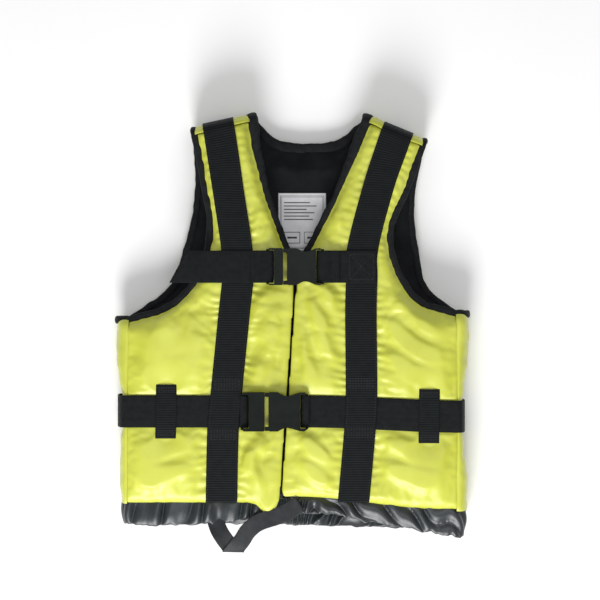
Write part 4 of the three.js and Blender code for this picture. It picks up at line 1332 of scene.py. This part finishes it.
def label_height(x, y):
    corner, top = low("size_label"), high("size_label")
    u = (np.asarray(x) - corner.x) / (top.x - corner.x)
    v = (np.asarray(y) - corner.y) / (top.y - corner.y)
    return corner.z + 0.5 + 0.5 * np.sin(math.pi * u) + 0.5 * np.sin(2.2 * math.pi * v + 0.6)


def label_patch(name, x0, x1, y0, y1, lift, material, thickness=0.3, step=3.0):
    xs = np.linspace(x0, x1, max(2, int((x1 - x0) / step)) + 1)
    ys = np.linspace(y0, y1, max(2, int((y1 - y0) / step)) + 1)
    gx, gy = np.meshgrid(xs, ys, indexing="ij")
    grid = np.stack([gx, gy, label_height(gx, gy) + lift], -1)
    return cloth_band(name, grid, material, thickness, upward=True)


def joined(objects, name):
    """Several small bodies as one piece."""
    bm = bmesh.new()
    for obj in objects:
        bm.from_mesh(obj.data)
    mesh = bpy.data.meshes.new(name)
    bm.to_mesh(mesh)
    bm.free()
    mesh.materials.append(objects[0].data.materials[0])
    mesh.polygons.foreach_set("use_smooth", [True] * len(mesh.polygons))
    piece = bpy.data.objects.new(name, mesh)
    bpy.context.scene.collection.objects.link(piece)
    for obj in objects:
        bpy.data.objects.remove(obj)
    return piece


def frame_marks(x0, x1, y0, y1, width):
    return [(x0, x1, y0, y0 + width), (x0, x1, y1 - width, y1),
            (x0, x0 + width, y0 + width, y1 - width), (x1 - width, x1, y0 + width, y1 - width)]


def size_label():
    """A white satin label with a double border, plain bars for its rows and two empty boxes."""
    corner, top = low("size_label"), high("size_label")
    x0, x1, y0, y1 = corner.x + 1, top.x - 1, corner.y + 1, top.y - 1
    label = label_patch("care_label", x0, x1, y0, y1, 0, LABEL, 0.35, 2.0)
    marks = frame_marks(x0 + 3, x1 - 3, y0 + 4, y1 - 4, 0.7)
    marks += frame_marks(x0 + 5, x1 - 5, y0 + 6, y1 - 6, 0.5)
    for k, share in enumerate((0.72, 0.9, 0.62, 0.84, 0.7, 0.8)):
        row_y = y1 - 14 - 5.2 * k
        marks.append((x0 + 9, x0 + 9 + (x1 - x0 - 18) * share, row_y - 1.5, row_y))
    marks += frame_marks(x0 + 9, x0 + 34, y0 + 12, y0 + 30, 1.1)
    marks += frame_marks(x0 + 40, x1 - 9, y0 + 12, y0 + 30, 0.8)
    marks.append((x0 + 14, x0 + 29, y0 + 19.5, y0 + 22.5))
    marks.append((x0 + 45, x1 - 14, y0 + 19.5, y0 + 22.5))
    parts = [label_patch(f"mark{k}", *m, 0.06, INK, 0.08, 2.0) for k, m in enumerate(marks)]
    print_piece = joined(parts, "care_label_marks")
    settle(label, "white_label", "size_label")
    settle(print_piece, "white_label")


# ---- buckles and zip keep their engineered shapes ----
def hardware():
    """Rounds the moulded and metal pieces' edges and gives them their finish."""
    for name, obj in NODES.items():
        plastic = "buckle" in name or "prong" in name or "teeth" in name
        metal = name in ("zip_slider", "zip_pull", "zip_bottom_stop")
        tape = name.endswith("zip_tape")
        if not (plastic or metal or tape):
            continue
        material = METAL if metal else (BIND if tape else PLASTIC)
        for slot in obj.material_slots:
            slot.material = material
        if tape or "teeth" in name:
            continue
        m = obj.modifiers.new("rounded", "BEVEL")
        m.width = (0.25 if metal else 0.9) * MM
        m.segments = 3
        m.limit_method = "ANGLE"
        m.angle_limit = math.radians(40)
        m.use_clamp_overlap = True


# ---- stage ----
def stage():
    """A pale floor, a soft key from the foot of the vest and the camera straight above."""
    points = [[-4000, -4000, 0], [4000, -4000, 0], [4000, 4000, 0], [-4000, 4000, 0]]
    floor = new_object("floor", points, [(0, 1, 2, 3)], FLOOR)
    world = bpy.data.worlds.new("studio")
    world.use_nodes = True
    world.node_tree.nodes["Background"].inputs[0].default_value = (1, 1, 1, 1)
    world.node_tree.nodes["Background"].inputs[1].default_value = 0.5
    bpy.context.scene.world = world
    lights = (("key", (-0.3, -2.2, 1.6), 1.3, 84.0), ("top", (0.3, 0.2, 2.9), 1.5, 16.0))
    for name, place, size, power in lights:
        data = bpy.data.lights.new(name, "AREA")
        data.shape = "DISK"
        data.size = size
        data.energy = power
        lamp = bpy.data.objects.new(name, data)
        lamp.location = place
        lamp.rotation_euler = (-Vector(place)).to_track_quat("-Z", "Y").to_euler()
        bpy.context.scene.collection.objects.link(lamp)
    data = bpy.data.cameras.new("camera")
    data.sensor_width = 36
    data.lens = 100
    camera = bpy.data.objects.new("camera", data)
    camera.location = (0.0117, 0.0524, FRONT_TOP * MM + 0.912 * data.lens / data.sensor_width)
    bpy.context.scene.collection.objects.link(camera)
    bpy.context.scene.camera = camera
    bpy.context.scene.view_settings.view_transform = "Standard"


def build():
    stage()
    hardware()
    size_label()
    for side, name, seed in ((-1, "right", 11), (1, "left", 23)):
        front_pad(side, name, seed)
        side_panel(side, name, seed + 50)
        shoulder_band(side, name, seed + 60)
        armhole_binding(side, name, seed + 70)
        vertical_webbing(side, name)
    back_pad()
    neck_binding()
    webbing_bartacks()
    chest_straps()
    waist_straps()
    for x, name in zip(KEEPER_X, ("right", "left")):
        keeper(x, name)
    hem_casing()
    hem_tape()


build()
